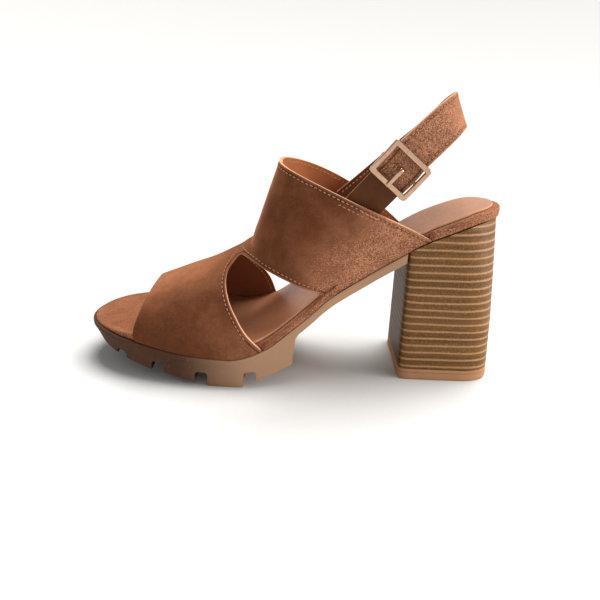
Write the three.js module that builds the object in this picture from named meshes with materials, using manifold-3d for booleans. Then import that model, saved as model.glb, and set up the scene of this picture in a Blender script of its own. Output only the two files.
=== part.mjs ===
import * as THREE from 'three';
import { mergeVertices } from 'three/addons/utils/BufferGeometryUtils.js';
import Module from 'manifold-3d';

const wasm = await Module();
wasm.setup();

// A left block heel sandal, in millimetres. While it is shaped, x runs from the toe (negative)
// to the back of the seat at zero, the outer side is at negative y, and z is zero on the floor.

// Sole and heel sizes
const soleLength = 234;
const ballWidth = 86;
const seatWidth = 50;
const platform = 16.5;
const toeSpring = 7.5;
const toeRoll = 6;
const heelHeight = 94;
const waistThickness = 5.5;
const lugDrop = 6.5;
const lugReach = 17;
const lugWallSlope = 1.5;
const treadRecess = 3;
const breastSetback = 51.6;
const heelBottomWidth = 55;
const heelTopWidth = 49;
const heelFlare = 3.5;
const heelTuck = 1.2;
const liftHeight = 6.5;
const liftRound = 0.8;

// Footbed and insole sizes
const rimHeight = 5;
const rimInset = 1.7;
const rimRound = 1.1;
const toeRimShare = 0.24;
const toeDome = 1;
const insoleInset = 4.2;
const insoleThickness = 1.2;
const insoleLength = 184;

// Upper sizes
const wall = 1.8;
const marginInset = 0.9;
const vampHeight = 45.5;
const instepHeight = 72;
const collarHeight = 119;
const outerBow = 1.2;
const innerBow = 6.4;
const vampBow = 2.4;

// Strap and buckle sizes
const strapWidth = 19.2;
const strapThickness = 2;
const slingLift = 27.8;
const strapLean = 0.4;
const strapSlotLength = 6.4;
const tabThickness = 1.6;
const tabLength = 38;
const tabLean = 4;
const loopWall = 1;
const buckleAlong = 20.6;
const buckleAcross = 24.6;
const barWidth = 2.8;
const barDepth = 2.8;
const buckleArch = 0.6;
const buckleCorner = 1.8;
const buckleEdgeDrop = 0.25;
const earLength = 4.4;
const pinRadius = 0.9;
const pinSetback = 61.4;
const pinHeight = 120.4;
const prongWidth = 2.6;
const prongThickness = 1.5;
const buckleAngle = 50.2;

const clearance = 0.3;
const overshoot = 20;

// The pin stands off the middle line as the upper does, and the strap's crest stands over the pin
const pinOut = (ballWidth / 2) * 0.651;
const strapRise = pinHeight + slingLift;

const smooth = (from, to, value) => THREE.MathUtils.smoothstep(value, from, to);
const mix = THREE.MathUtils.lerp;

// Plan of the sole: half widths each side of the middle line, as shares of the width that
// holds there, from the ball's width in front to the seat's width behind.
const plan = [
  { along: 0, outer: 0, inner: 0 },
  { along: 0.02, outer: 0.182, inner: 0.219 },
  { along: 0.06, outer: 0.303, inner: 0.352 },
  { along: 0.12, outer: 0.401, inner: 0.431 },
  { along: 0.2, outer: 0.473, inner: 0.473 },
  { along: 0.3, outer: 0.522, inner: 0.48 },
  { along: 0.38, outer: 0.534, inner: 0.449 },
  { along: 0.48, outer: 0.526, inner: 0.409 },
  { along: 0.58, outer: 0.53, inner: 0.415 },
  { along: 0.68, outer: 0.524, inner: 0.444 },
  { along: 0.78, outer: 0.5, inner: 0.464 },
  { along: 0.88, outer: 0.49, inner: 0.475 },
  { along: 0.95, outer: 0.392, inner: 0.392 },
  { along: 0.985, outer: 0.24, inner: 0.24 },
  { along: 1, outer: 0, inner: 0 },
];

// Rise of the sole's top above the platform: a share of the heel's rise and one of the toe spring
const rise = [
  { along: 0, heel: 0, toe: 1 },
  { along: 0.06, heel: 0, toe: 0.9 },
  { along: 0.1, heel: 0, toe: 0.75 },
  { along: 0.15, heel: 0, toe: 0.62 },
  { along: 0.2, heel: 0, toe: 0.4 },
  { along: 0.26, heel: 0, toe: 0.16 },
  { along: 0.32, heel: 0, toe: 0.04 },
  { along: 0.37, heel: 0, toe: 0 },
  { along: 0.41, heel: 0.021, toe: 0 },
  { along: 0.46, heel: 0.084, toe: 0 },
  { along: 0.51, heel: 0.195, toe: 0 },
  { along: 0.56, heel: 0.316, toe: 0 },
  { along: 0.6, heel: 0.42, toe: 0 },
  { along: 0.68, heel: 0.568, toe: 0 },
  { along: 0.75, heel: 0.7, toe: 0 },
  { along: 0.83, heel: 0.843, toe: 0 },
  { along: 0.885, heel: 0.914, toe: 0 },
  { along: 0.94, heel: 0.972, toe: 0 },
  { along: 1, heel: 1, toe: 0 },
];

// Underside of the platform: lift of the lugs' feet above the floor, as a share of the platform
const tread = [
  { along: 0, lift: 1.05 },
  { along: 0.03, lift: 0.72 },
  { along: 0.064, lift: 0.62 },
  { along: 0.085, lift: 0.56 },
  { along: 0.12, lift: 0.51 },
  { along: 0.177, lift: 0.385 },
  { along: 0.214, lift: 0.33 },
  { along: 0.285, lift: 0.12 },
  { along: 0.322, lift: 0 },
  { along: 0.4, lift: 0 },
  { along: 0.442, lift: 0.24 },
  { along: 0.48, lift: 0.47 },
  { along: 0.519, lift: 0.74 },
];

// Notches between the lugs, along the sole, with the lift of their ceiling
const notches = [
  { from: 0.0855, to: 0.1125, ceiling: 0.79 },
  { from: 0.1825, to: 0.2135, ceiling: 0.7 },
  { from: 0.2895, to: 0.3205, ceiling: 0.5 },
  { from: 0.405, to: 0.436, ceiling: 0.57 },
];

// Cross bars left standing in the middle of the tread
const treadBars = [
  { from: 0.14, to: 0.17 },
  { from: 0.235, to: 0.27 },
  { from: 0.345, to: 0.38 },
  { from: 0.455, to: 0.48 },
];

// Cross sections of the upper, toe edge first. Places along the sole are shares of its length,
// instep and collar are shares of the rises to those heights, and fullness is a share of half
// the ball width.
const uppers = [
  { outerFoot: 0.147, innerFoot: 0.147, crown: 0.165, instep: 0, collar: 0,
    outerFull: 0.86, innerFull: 0.84, square: 2.5 },
  { outerFoot: 0.24, innerFoot: 0.24, crown: 0.238, instep: 0.28, collar: 0,
    outerFull: 0.94, innerFull: 0.9, square: 2.5 },
  { outerFoot: 0.338, innerFoot: 0.338, crown: 0.316, instep: 0.58, collar: 0,
    outerFull: 0.95, innerFull: 0.86, square: 2.4 },
  { outerFoot: 0.43, innerFoot: 0.43, crown: 0.372, instep: 0.85, collar: 0,
    outerFull: 0.93, innerFull: 0.8, square: 2.4 },
  { outerFoot: 0.52, innerFoot: 0.52, crown: 0.404, instep: 1, collar: 0.02,
    outerFull: 0.84, innerFull: 0.72, square: 2.5 },
  { outerFoot: 0.615, innerFoot: 0.61, crown: 0.42, instep: 1, collar: 0.21,
    outerFull: 0.77, innerFull: 0.68, square: 2.7 },
  { outerFoot: 0.715, innerFoot: 0.7, crown: 0.443, instep: 1, collar: 0.56,
    outerFull: 0.735, innerFull: 0.7, square: 3 },
  { outerFoot: 0.831, innerFoot: 0.797, crown: 0.4726, instep: 1, collar: 1,
    outerFull: 0.725, innerFull: 0.71, square: 3.2 },
];

// Side openings of the upper, seen from the side: places along the sole, and heights as shares
// of the collar's height. They run up the vamp's back edge and down the instep band's lower edge.
const outerOpening = [
  { along: 0.455, up: 0.1 },
  { along: 0.446, up: 0.19 },
  { along: 0.409, up: 0.26 },
  { along: 0.383, up: 0.336 },
  { along: 0.3675, up: 0.395 },
  { along: 0.358, up: 0.454 },
  { along: 0.3585, up: 0.5 },
  { along: 0.37, up: 0.54 },
  { along: 0.388, up: 0.572 },
  { along: 0.41, up: 0.568 },
  { along: 0.441, up: 0.546 },
  { along: 0.5, up: 0.5 },
  { along: 0.526, up: 0.4765 },
  { along: 0.562, up: 0.4496 },
  { along: 0.594, up: 0.423 },
  { along: 0.612, up: 0.405 },
  { along: 0.619, up: 0.38 },
  { along: 0.619, up: 0.1 },
];
const innerOpening = [
  { along: 0.467, up: 0.1 },
  { along: 0.464, up: 0.24 },
  { along: 0.446, up: 0.332 },
  { along: 0.42, up: 0.4 },
  { along: 0.398, up: 0.455 },
  { along: 0.39, up: 0.5 },
  { along: 0.397, up: 0.535 },
  { along: 0.415, up: 0.553 },
  { along: 0.44, up: 0.54 },
  { along: 0.5, up: 0.496 },
  { along: 0.56, up: 0.453 },
  { along: 0.592, up: 0.425 },
  { along: 0.61, up: 0.405 },
  { along: 0.617, up: 0.38 },
  { along: 0.617, up: 0.1 },
];

// Middle line of the sling strap past the buckle: forward of the seat's rear as a share of the
// pin's setback, out as a share of the pin's distance, up as a share of the strap's rise
const sling = [
  { back: 0.775, out: -0.946, up: 0.911 },
  { back: 0.5945, out: -0.625, up: 0.9716 },
  { back: 0.4528, out: 0, up: 1 },
  { back: 0.4707, out: 0.464, up: 0.974 },
  { back: 0.5526, out: 0.821, up: 0.917 },
  { back: 0.8727, out: 0.915, up: 0.793 },
  { back: 1.2215, out: 0.785, up: 0.665 },
  { back: 1.3682, out: 0.745, up: 0.612 },
];

// Smooth value of one column of a table at a place along the sole
function column(table, key, name) {
  const xs = table.map((row) => row[key]);
  const ys = table.map((row) => row[name]);
  const slopes = xs.map((x, i) => {
    if (i === 0 || i === xs.length - 1) return null;
    const before = (ys[i] - ys[i - 1]) / (x - xs[i - 1]);
    const after = (ys[i + 1] - ys[i]) / (xs[i + 1] - x);
    return before * after <= 0 ? 0 : (2 * before * after) / (before + after);
  });
  slopes[0] = (ys[1] - ys[0]) / (xs[1] - xs[0]);
  slopes[xs.length - 1] = (ys[xs.length - 1] - ys[xs.length - 2]) / (xs[xs.length - 1] - xs[xs.length - 2]);
  return (at) => {
    let i = 0;
    while (i < xs.length - 2 && at > xs[i + 1]) i += 1;
    const span = xs[i + 1] - xs[i];
    const t = THREE.MathUtils.clamp((at - xs[i]) / span, 0, 1);
    const s = 1 - t;
    return ys[i] * (1 + 2 * t) * s * s + ys[i + 1] * (3 - 2 * t) * t * t
      + span * (slopes[i] * t * s * s - slopes[i + 1] * t * t * s);
  };
}

const turned = plan.map((row) => ({ ...row, turn: Math.acos(1 - 2 * row.along) }));
const outerPlan = column(turned, 'turn', 'outer');
const innerPlan = column(turned, 'turn', 'inner');
const heelRise = column(rise, 'along', 'heel');
const toeRise = column(rise, 'along', 'toe');
const treadLift = column(tread, 'along', 'lift');

const shareAt = (x) => THREE.MathUtils.clamp(1 + x / soleLength, 0, 1);
const widthAt = (along) => mix(ballWidth, seatWidth, smooth(0.38, 0.72, along));

// Half width of the sole on one side, negative for the outer side
function halfWidth(x, side) {
  const along = shareAt(x);
  const turn = Math.acos(1 - 2 * along);
  return side * widthAt(along) * (side < 0 ? outerPlan(turn) : innerPlan(turn));
}

// Height of the sole's top, which the upper, the footbed and the heel share
function soleTop(x) {
  const along = shareAt(x);
  return platform + heelRise(along) * (heelHeight - platform) + toeRise(along) * toeSpring;
}

// Point of the sole's plan at a turn from the toe (0) to the heel (pi), drawn in by an inset
function planPoint(turn, side, inset) {
  const at = (angle) => {
    const along = (1 - Math.cos(angle)) / 2;
    const half = widthAt(along) * (side < 0 ? outerPlan(angle) : innerPlan(angle));
    return new THREE.Vector2(-soleLength * (1 - along), side * half);
  };
  const step = 0.01;
  const before = at(Math.max(turn - step, 0));
  const after = at(Math.min(turn + step, Math.PI));
  const normal = new THREE.Vector2(after.y - before.y, before.x - after.x).multiplyScalar(side);
  if (turn < step) normal.set(1, 0);
  if (turn > Math.PI - step) normal.set(-1, 0);
  return at(turn).addScaledVector(normal.normalize(), inset);
}

function asSolid(geometry) {
  const bare = geometry.clone();
  bare.deleteAttribute('normal');
  bare.deleteAttribute('uv');
  const merged = mergeVertices(bare, 1e-4);
  const mesh = new wasm.Mesh({
    numProp: 3,
    vertProperties: new Float32Array(merged.attributes.position.array),
    triVerts: new Uint32Array(merged.index.array),
  });
  return new wasm.Manifold(mesh);
}

function asGeometry(body) {
  const mesh = body.getMesh();
  const geometry = new THREE.BufferGeometry();
  geometry.setAttribute('position', new THREE.BufferAttribute(new Float32Array(mesh.vertProperties), 3));
  geometry.setIndex(new THREE.BufferAttribute(new Uint32Array(mesh.triVerts), 1));
  return geometry;
}

// Moves every point of a geometry through a function of its own place
function reshape(geometry, move) {
  const position = geometry.attributes.position;
  const point = new THREE.Vector3();
  for (let i = 0; i < position.count; i += 1) {
    point.fromBufferAttribute(position, i);
    const moved = move(point.clone());
    position.setXYZ(i, moved.x, moved.y, moved.z);
  }
  return geometry;
}

// Prism of a side outline, (x, z) points in order, between two places across the shoe
function sidePrism(points, from, to) {
  const shape = new THREE.Shape(points.map(([x, z]) => new THREE.Vector2(x, z)));
  const geometry = new THREE.ExtrudeGeometry(shape, { depth: to - from, bevelEnabled: false, steps: 1 });
  return asSolid(reshape(geometry, (p) => new THREE.Vector3(p.x, to - p.z, p.y)));
}

// Plate with the sole's plan. The square grid is spread over the plan, the inset follows the
// place in the thickness, and bottom and top give the heights.
function plate({ inset, bottom, top, layers }) {
  const grid = new THREE.BoxGeometry(2, 2, 1, 34, 12, layers);
  return reshape(grid, (p) => {
    const level = p.z + 0.5;
    const discX = p.x * Math.sqrt(1 - (p.y * p.y) / 2);
    const discY = p.y * Math.sqrt(1 - (p.x * p.x) / 2);
    const radius = Math.min(Math.hypot(discX, discY), 1);
    const turn = Math.acos(THREE.MathUtils.clamp(-discX / Math.max(radius, 1e-6), -1, 1));
    const side = discY < 0 ? -1 : 1;
    const edge = planPoint(turn, side, inset(level, (1 - Math.cos(turn)) / 2));
    const centre = new THREE.Vector2(-soleLength / 2, 0);
    const flat = centre.lerp(edge, radius);
    return new THREE.Vector3(flat.x, flat.y, mix(bottom(flat.x), top(flat.x, radius), level));
  });
}

// Side line of the sole's top between two places, lifted, with the same corners for every piece
// that lies on it
function topLine(from, to, lift) {
  const pitch = soleLength / 40;
  const points = [[from, soleTop(from) + lift]];
  for (let i = Math.ceil((from + 0.01) / pitch); i * pitch < to - 0.01; i += 1) {
    points.push([i * pitch, soleTop(i * pitch) + lift]);
  }
  points.push([to, soleTop(to) + lift]);
  return points;
}

// Everything above the sole's top, or everything below it, lifted
function aboveTop(lift) {
  const end = soleLength * 0.1;
  const high = heelHeight * 2;
  return sidePrism([...topLine(-soleLength - end, end, lift), [end, high], [-soleLength - end, high]],
    -ballWidth, ballWidth);
}

function belowTop(lift) {
  const end = soleLength * 0.1;
  const low = -heelHeight;
  return sidePrism([...topLine(-soleLength - end, end, lift), [end, low], [-soleLength - end, low]],
    -ballWidth, ballWidth);
}

// Outsole: a drafted platform, cut from below by its tread line, lug wall and waist
function makeOutsole() {
  const deep = -4;
  const body = asSolid(plate({
    inset: (level, along) => {
      const height = mix(deep, platform + toeSpring + waistThickness, level);
      const draft = Math.max(0, platform + toeSpring * 0.5 - height) * (toeRoll / platform);
      return draft * (1 - smooth(0.02, 0.2, along)) + (1 - level) * 1.2;
    },
    bottom: () => deep,
    top: (x) => soleTop(x) + waistThickness,
    layers: 4,
  }));
  const lugEnd = tread[tread.length - 1];
  const wallX = -soleLength * (1 - lugEnd.along);
  const under = [[-soleLength - overshoot, deep * 3]];
  for (let i = 0; i <= 34; i += 1) {
    const along = (lugEnd.along * i) / 34;
    under.push([-soleLength * (1 - along), treadLift(along) * platform]);
  }
  under[1] = [-soleLength - overshoot, treadLift(0) * platform];
  const wallTop = soleTop(wallX + lugWallSlope) - waistThickness - lugWallSlope;
  under.push([wallX + lugWallSlope, wallTop]);
  const waistStart = wallX + lugWallSlope * 2;
  under.push(...topLine(waistStart, -breastSetback - clearance, -waistThickness));
  under.push([-breastSetback - clearance, heelHeight * 2]);
  under.push([overshoot * 2, heelHeight * 2]);
  under.push([overshoot * 2, deep * 3]);
  let sole = body.subtract(sidePrism(under, -ballWidth, ballWidth)).subtract(aboveTop(0));
  for (const notch of notches) {
    const x0 = -soleLength * (1 - notch.from);
    const x1 = -soleLength * (1 - notch.to);
    const ceiling = notch.ceiling * platform;
    const corner = lugDrop * 0.18;
    const cut = [[x0, deep], [x1, deep], [x1, ceiling - corner], [x1 - corner, ceiling],
      [x0 + corner, ceiling], [x0, ceiling - corner]];
    const middle = (x0 + x1) / 2;
    sole = sole.subtract(sidePrism(cut, -ballWidth, halfWidth(middle, -1) + lugReach));
    sole = sole.subtract(sidePrism(cut, halfWidth(middle, 1) - lugReach, ballWidth));
  }
  const centre = [];
  const fromX = -soleLength * (1 - 0.1);
  const toX = -soleLength * (1 - 0.5);
  for (let i = 0; i <= 12; i += 1) {
    const x = mix(fromX, toX, i / 12);
    centre.push([x, treadLift(shareAt(x)) * platform + treadRecess]);
  }
  centre.push([toX, deep], [fromX, deep]);
  let recess = sidePrism(centre, -ballWidth / 2, ballWidth / 2);
  const field = new THREE.Shape();
  const steps = 10;
  for (let i = 0; i <= steps; i += 1) {
    const x = mix(fromX, toX, i / steps);
    field[i ? 'lineTo' : 'moveTo'](x, halfWidth(x, -1) + lugReach);
  }
  for (let i = steps; i >= 0; i -= 1) {
    const x = mix(fromX, toX, i / steps);
    field.lineTo(x, halfWidth(x, 1) - lugReach);
  }
  const block = new THREE.ExtrudeGeometry(field, { depth: platform * 2, bevelEnabled: false });
  block.translate(0, 0, deep);
  recess = recess.intersect(asSolid(block));
  for (const bar of treadBars) {
    const x0 = -soleLength * (1 - bar.from);
    const x1 = -soleLength * (1 - bar.to);
    const box = [[x0, deep * 2], [x1, deep * 2], [x1, platform * 2], [x0, platform * 2]];
    recess = recess.subtract(sidePrism(box, -ballWidth, ballWidth));
  }
  return sole.subtract(recess);
}

// Point of the heel's plan at a height: round behind, square in front
function heelPoint(angle, z, inset) {
  const down = 1 - z / heelHeight;
  const half = mix(heelTopWidth, heelBottomWidth, down) / 2 - inset;
  const rear = mix(-heelTuck, heelFlare, down) - inset;
  const front = -breastSetback + inset;
  const middle = mix(-0.53, -0.42, down) * breastSetback;
  const cos = Math.cos(angle);
  const sin = Math.sin(angle);
  const square = cos > 0 ? mix(1.9, 3.4, Math.min(down * 1.6, 1)) : 13;
  const x = middle + (cos > 0 ? rear - middle : middle - front) * Math.sign(cos) * Math.abs(cos) ** (2 / square);
  const y = half * Math.sign(sin) * Math.abs(sin) ** (2 / square);
  return new THREE.Vector2(x, y);
}

function heelColumn(from, to, levels, inset) {
  const tube = new THREE.CylinderGeometry(1, 1, 1, 48, levels);
  return reshape(tube, (p) => {
    const level = p.y + 0.5;
    const z = mix(from, to, level);
    const radius = Math.hypot(p.x, p.z);
    const edge = heelPoint(Math.atan2(p.x, p.z), z, inset(z));
    const centre = new THREE.Vector2(-breastSetback / 2, 0);
    const flat = radius < 0.5 ? centre : edge;
    return new THREE.Vector3(flat.x, flat.y, z);
  });
}

function makeHeel() {
  const body = asSolid(heelColumn(liftHeight + clearance, heelHeight * 1.085, 5, () => 0));
  return body.subtract(aboveTop(0));
}

function makeLift() {
  return asSolid(heelColumn(0, liftHeight, 4, (z) => liftRound * Math.max(0, 1 - z / (liftRound * 2)) ** 2));
}

// Height of the footbed's edge, which is lower round the toe
const rimTop = (x) => soleTop(x) + clearance + rimHeight * mix(toeRimShare, 1, smooth(0.04, 0.2, shareAt(x)));

function makeFootbed() {
  const body = asSolid(plate({
    inset: (level, along) => rimInset * (1 - smooth(0.3, 0.5, along))
      + (level > 0.99 ? rimRound : level > 0.6 ? rimRound * 0.15 : 0),
    bottom: (x) => soleTop(x) - rimRound,
    top: (x, radius) => rimTop(x) + toeDome * (1 - smooth(0.1, 0.26, shareAt(x))) * (1 - radius ** 3),
    layers: 3,
  }));
  return body
    .subtract(belowTop(clearance))
    .subtract(upperShell(marginInset * 2, -wall - clearance, clearance));
}

function makeInsole() {
  const lift = rimHeight + clearance * 2.6;
  const body = asSolid(plate({
    inset: () => insoleInset,
    bottom: () => 0,
    top: () => heelHeight * 2,
    layers: 1,
  })).subtract(belowTop(lift)).subtract(aboveTop(lift + insoleThickness));
  const front = new THREE.Shape();
  front.moveTo(-insoleLength, -ballWidth);
  front.absellipse(-insoleLength + ballWidth * 0.3, 0, ballWidth * 0.3, ballWidth * 0.47, -Math.PI / 2,
    Math.PI / 2, true);
  front.lineTo(-insoleLength, ballWidth);
  front.lineTo(-soleLength - overshoot, ballWidth);
  front.lineTo(-soleLength - overshoot, -ballWidth);
  const cutter = new THREE.ExtrudeGeometry(front, { depth: heelHeight, bevelEnabled: false, curveSegments: 18 });
  return body.subtract(asSolid(cutter));
}

const station = uppers.map((row, i) => ({ ...row, index: i / (uppers.length - 1) }));
const sectionColumn = (name) => column(station, 'index', name);
const section = {
  outerFoot: sectionColumn('outerFoot'),
  innerFoot: sectionColumn('innerFoot'),
  crown: sectionColumn('crown'),
  instep: sectionColumn('instep'),
  collar: sectionColumn('collar'),
  outerFull: sectionColumn('outerFull'),
  innerFull: sectionColumn('innerFull'),
  square: sectionColumn('square'),
};

// Height of the upper's crown along the shoe
function crownHeight(u) {
  const instepRise = instepHeight - vampHeight;
  const collarRise = collarHeight - instepHeight;
  return vampHeight + section.instep(u) * instepRise + section.collar(u) * collarRise;
}

// Outer face of the upper: u runs from the toe edge to the collar, v from the outer foot of the
// section (-1) over the crown to the inner foot (1)
function upperSection(u) {
  const points = [];
  const crown = new THREE.Vector3(-soleLength * (1 - section.crown(u)), 0, crownHeight(u));
  const fine = 40;
  for (const side of [-1, 1]) {
    const footShare = side < 0 ? section.outerFoot(u) : section.innerFoot(u);
    const footX = -soleLength * (1 - footShare);
    const foot = new THREE.Vector3(footX, halfWidth(footX, side) - side * marginInset, soleTop(footX) + clearance);
    const full = (side * ballWidth / 2) * (side < 0 ? section.outerFull(u) : section.innerFull(u));
    const bow = (side < 0 ? outerBow : innerBow) * section.collar(u);
    const lead = vampBow * (1 - smooth(0, 0.3, u));
    const power = 2 / section.square(u);
    const half = [];
    for (let i = 0; i <= fine; i += 1) {
      const angle = (Math.PI / 2) * (i / fine);
      const h = Math.sin(angle) ** power;
      const spread = Math.cos(angle) ** power;
      const y = mix(foot.y, full, smooth(0.02, 0.5, h)) * spread;
      const x = mix(foot.x, crown.x, h) - lead * Math.sin(Math.PI * h ** 0.5);
      half.push(new THREE.Vector3(x, y, mix(foot.z, crown.z, h) + bow * 4 * h * (1 - h)));
    }
    half[fine].y = 0;
    points.push(half);
  }
  return [evenly(points[0]), evenly(points[1])];
}

// Same curve with its points evenly spaced, as a function of a share from foot to crown
function evenly(points) {
  const lengths = [0];
  for (let i = 1; i < points.length; i += 1) lengths.push(lengths[i - 1] + points[i].distanceTo(points[i - 1]));
  const total = lengths[lengths.length - 1];
  return (share) => {
    const want = share * total;
    let i = 1;
    while (i < points.length - 1 && lengths[i] < want) i += 1;
    const t = (want - lengths[i - 1]) / (lengths[i] - lengths[i - 1]);
    return points[i - 1].clone().lerp(points[i], t);
  };
}

const knownSections = new Map();
function upperPoint(u, v) {
  const at = THREE.MathUtils.clamp(u, 0, 1);
  if (!knownSections.has(at)) knownSections.set(at, upperSection(at));
  const half = knownSections.get(at)[v < 0 ? 0 : 1];
  return half(1 - Math.min(Math.abs(v), 1));
}

function upperNormal(u, v) {
  const step = 0.004;
  const alongU = upperPoint(Math.min(u + step, 1), v).sub(upperPoint(Math.max(u - step, 0), v));
  const alongV = upperPoint(u, Math.min(v + step * 3, 1)).sub(upperPoint(u, Math.max(v - step * 3, -1)));
  const normal = alongU.cross(alongV).normalize();
  const foot = 1 - smooth(0, 0.12, 1 - Math.abs(v));
  return normal.lerp(new THREE.Vector3(0, Math.sign(v), 0), foot).normalize();
}

// Shell of the upper between two distances from its outer face, cut open at the sides. A room
// above zero makes it larger at every edge, for what is cut to fit round it.
function upperShell(outside, inside, room) {
  const grid = new THREE.BoxGeometry(1, 2, 1, 40, 26, 1);
  const shell = asSolid(reshape(grid, (p) => {
    const u = p.x + 0.5;
    const v = THREE.MathUtils.clamp(p.y, -1, 1);
    const depth = mix(inside, outside, p.z + 0.5);
    const point = upperPoint(u, v).addScaledVector(upperNormal(u, v), depth);
    if (Math.abs(v) > 0.999) point.z -= room;
    if (u < 0.001) point.x -= room * 1.3;
    if (u > 0.999) point.x += room * 4;
    return point;
  }));
  return shell
    .subtract(openingPrism(outerOpening, -ballWidth, -ballWidth * 0.12, room))
    .subtract(openingPrism(innerOpening, ballWidth * 0.12, ballWidth, room));
}

// Prism of a side opening, narrower by a room on both sides
function openingPrism(table, from, to, room) {
  const rows = table.map((row) => new THREE.Vector2(-soleLength * (1 - row.along), row.up * collarHeight));
  const first = rows[0].x;
  const last = rows[rows.length - 1].x;
  const narrow = (x) => x + room * (1 - (2 * (x - first)) / (last - first));
  const curve = new THREE.SplineCurve(rows.slice(1, -1));
  const points = [rows[0], ...curve.getPoints(26), rows[rows.length - 1]];
  return sidePrism(points.map((p) => [narrow(p.x), p.y]), from, to);
}

// Buckle frame of reference: a runs along the strap, c across it and n outwards
const angle = THREE.MathUtils.degToRad(buckleAngle);
const alongAxis = new THREE.Vector3(Math.cos(angle), 0, Math.sin(angle));
const acrossAxis = new THREE.Vector3(-Math.sin(angle), 0, Math.cos(angle));
const outAxis = new THREE.Vector3(0, -1, 0);
const pinPlace = new THREE.Vector3(-pinSetback, 0, pinHeight);
const buckleMatrix = new THREE.Matrix4().makeBasis(alongAxis, acrossAxis, outAxis).setPosition(pinPlace);
const atBuckle = (a, c, n) => new THREE.Vector3(a, c, n).applyMatrix4(buckleMatrix);

// Prism of an outline in the a and n directions, centred across the strap
function buckleProfile(shape, width, segments) {
  const options = { depth: width, bevelEnabled: false, curveSegments: segments };
  const geometry = new THREE.ExtrudeGeometry(shape, options);
  return reshape(geometry, (p) => atBuckle(p.x, width / 2 - p.z, p.y));
}

const loopRadius = pinRadius + clearance;
const loopOuter = loopRadius + loopWall;
const crossbarFloor = pinOut + tabThickness / 2 + strapThickness + clearance * 1.67;

function makeFrame() {
  const outline = new THREE.Shape();
  const x = buckleAlong / 2;
  const y = buckleAcross / 2;
  const r = buckleCorner;
  outline.moveTo(-x + r, -y);
  outline.lineTo(x - r, -y);
  outline.quadraticCurveTo(x, -y, x, -y + r);
  outline.lineTo(x, y - r);
  outline.quadraticCurveTo(x, y, x - r, y);
  outline.lineTo(-x + r, y);
  outline.quadraticCurveTo(-x, y, -x, y - r);
  outline.lineTo(-x, -y + r);
  outline.quadraticCurveTo(-x, -y, -x + r, -y);
  const windowX = x - barWidth;
  const windowY = strapWidth / 2 + clearance;
  const hole = new THREE.Path();
  hole.moveTo(-windowX, -windowY);
  hole.lineTo(-windowX, windowY);
  hole.lineTo(0, windowY);
  hole.lineTo(windowX, windowY);
  hole.lineTo(windowX, -windowY);
  hole.lineTo(0, -windowY);
  hole.lineTo(-windowX, -windowY);
  outline.holes.push(hole);
  const ring = new THREE.ExtrudeGeometry(outline, { depth: barDepth, bevelEnabled: false, curveSegments: 3 });
  let body = asSolid(reshape(ring, (p) => {
    const arch = buckleArch * (1 - (p.x / x) ** 2);
    const edge = p.z > barDepth / 2 && Math.abs(p.x) > windowX ? buckleEdgeDrop : 0;
    return atBuckle(p.x, p.y, crossbarFloor + p.z + arch - edge);
  }));
  for (const side of [-1, 1]) {
    const earTop = crossbarFloor + barDepth * 0.5;
    const earLow = pinOut - pinRadius - loopWall;
    const width = y - windowY;
    const ear = new THREE.BoxGeometry(earLength, width - clearance * 0.67, earTop - earLow);
    const middle = side * (windowY + width / 2);
    body = body.add(asSolid(reshape(ear, (p) => atBuckle(p.x, p.y + middle, p.z + (earTop + earLow) / 2))));
  }
  return body.subtract(pinSolid(pinRadius + clearance, buckleAcross * 2));
}

function pinSolid(radius, length) {
  const pin = new THREE.CylinderGeometry(radius, radius, length, 20);
  return asSolid(reshape(pin, (p) => atBuckle(p.x, p.y, pinOut + p.z)));
}

function makeTab() {
  const low = pinOut - tabLean;
  const strip = new THREE.Shape();
  strip.moveTo(-tabLength, low - tabThickness / 2);
  strip.lineTo(-loopRadius, pinOut - clearance * 0.67 - tabThickness / 2);
  strip.lineTo(-loopRadius, pinOut - clearance * 0.67 + tabThickness / 2);
  strip.lineTo(-tabLength, low + tabThickness / 2);
  const loop = new THREE.Shape();
  loop.absarc(0, pinOut, loopOuter, 0, Math.PI * 2, false);
  const body = asSolid(buckleProfile(strip, strapWidth - clearance * 1.33, 4))
    .add(asSolid(buckleProfile(loop, strapWidth - clearance * 1.33, 10)));
  const slot = new THREE.BoxGeometry(loopOuter * 3.36, prongWidth + clearance * 2, loopOuter * 4);
  return body
    .subtract(pinSolid(loopRadius, buckleAcross * 2))
    .subtract(asSolid(reshape(slot, (p) => atBuckle(p.x + loopOuter * 0.23, p.y, p.z + pinOut))));
}

function makeProng() {
  const ring = new THREE.Shape();
  ring.absarc(0, pinOut, loopRadius + loopWall * 0.9, 0, Math.PI * 2, false);
  const top = crossbarFloor + barDepth + clearance;
  const arm = new THREE.Shape();
  const tip = -buckleAlong / 2 - clearance;
  const t = prongThickness;
  arm.moveTo(-t * 0.73, pinOut);
  arm.lineTo(t * 0.87, pinOut);
  arm.lineTo(t, top + t * 0.13);
  arm.lineTo(t * 0.27, top + t);
  arm.lineTo(-t * 1.33, top + t * 1.27);
  arm.lineTo(tip + t * 0.67, top + t * 0.8);
  arm.lineTo(tip, top + t * 0.33);
  arm.lineTo(tip + t * 0.27, top);
  arm.lineTo(-t * 2, top + t * 0.2);
  arm.lineTo(-t * 0.73, top - t * 0.33);
  return asSolid(buckleProfile(ring, prongWidth, 10))
    .add(asSolid(buckleProfile(arm, prongWidth, 4)))
    .subtract(pinSolid(loopRadius, buckleAcross * 2));
}

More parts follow.
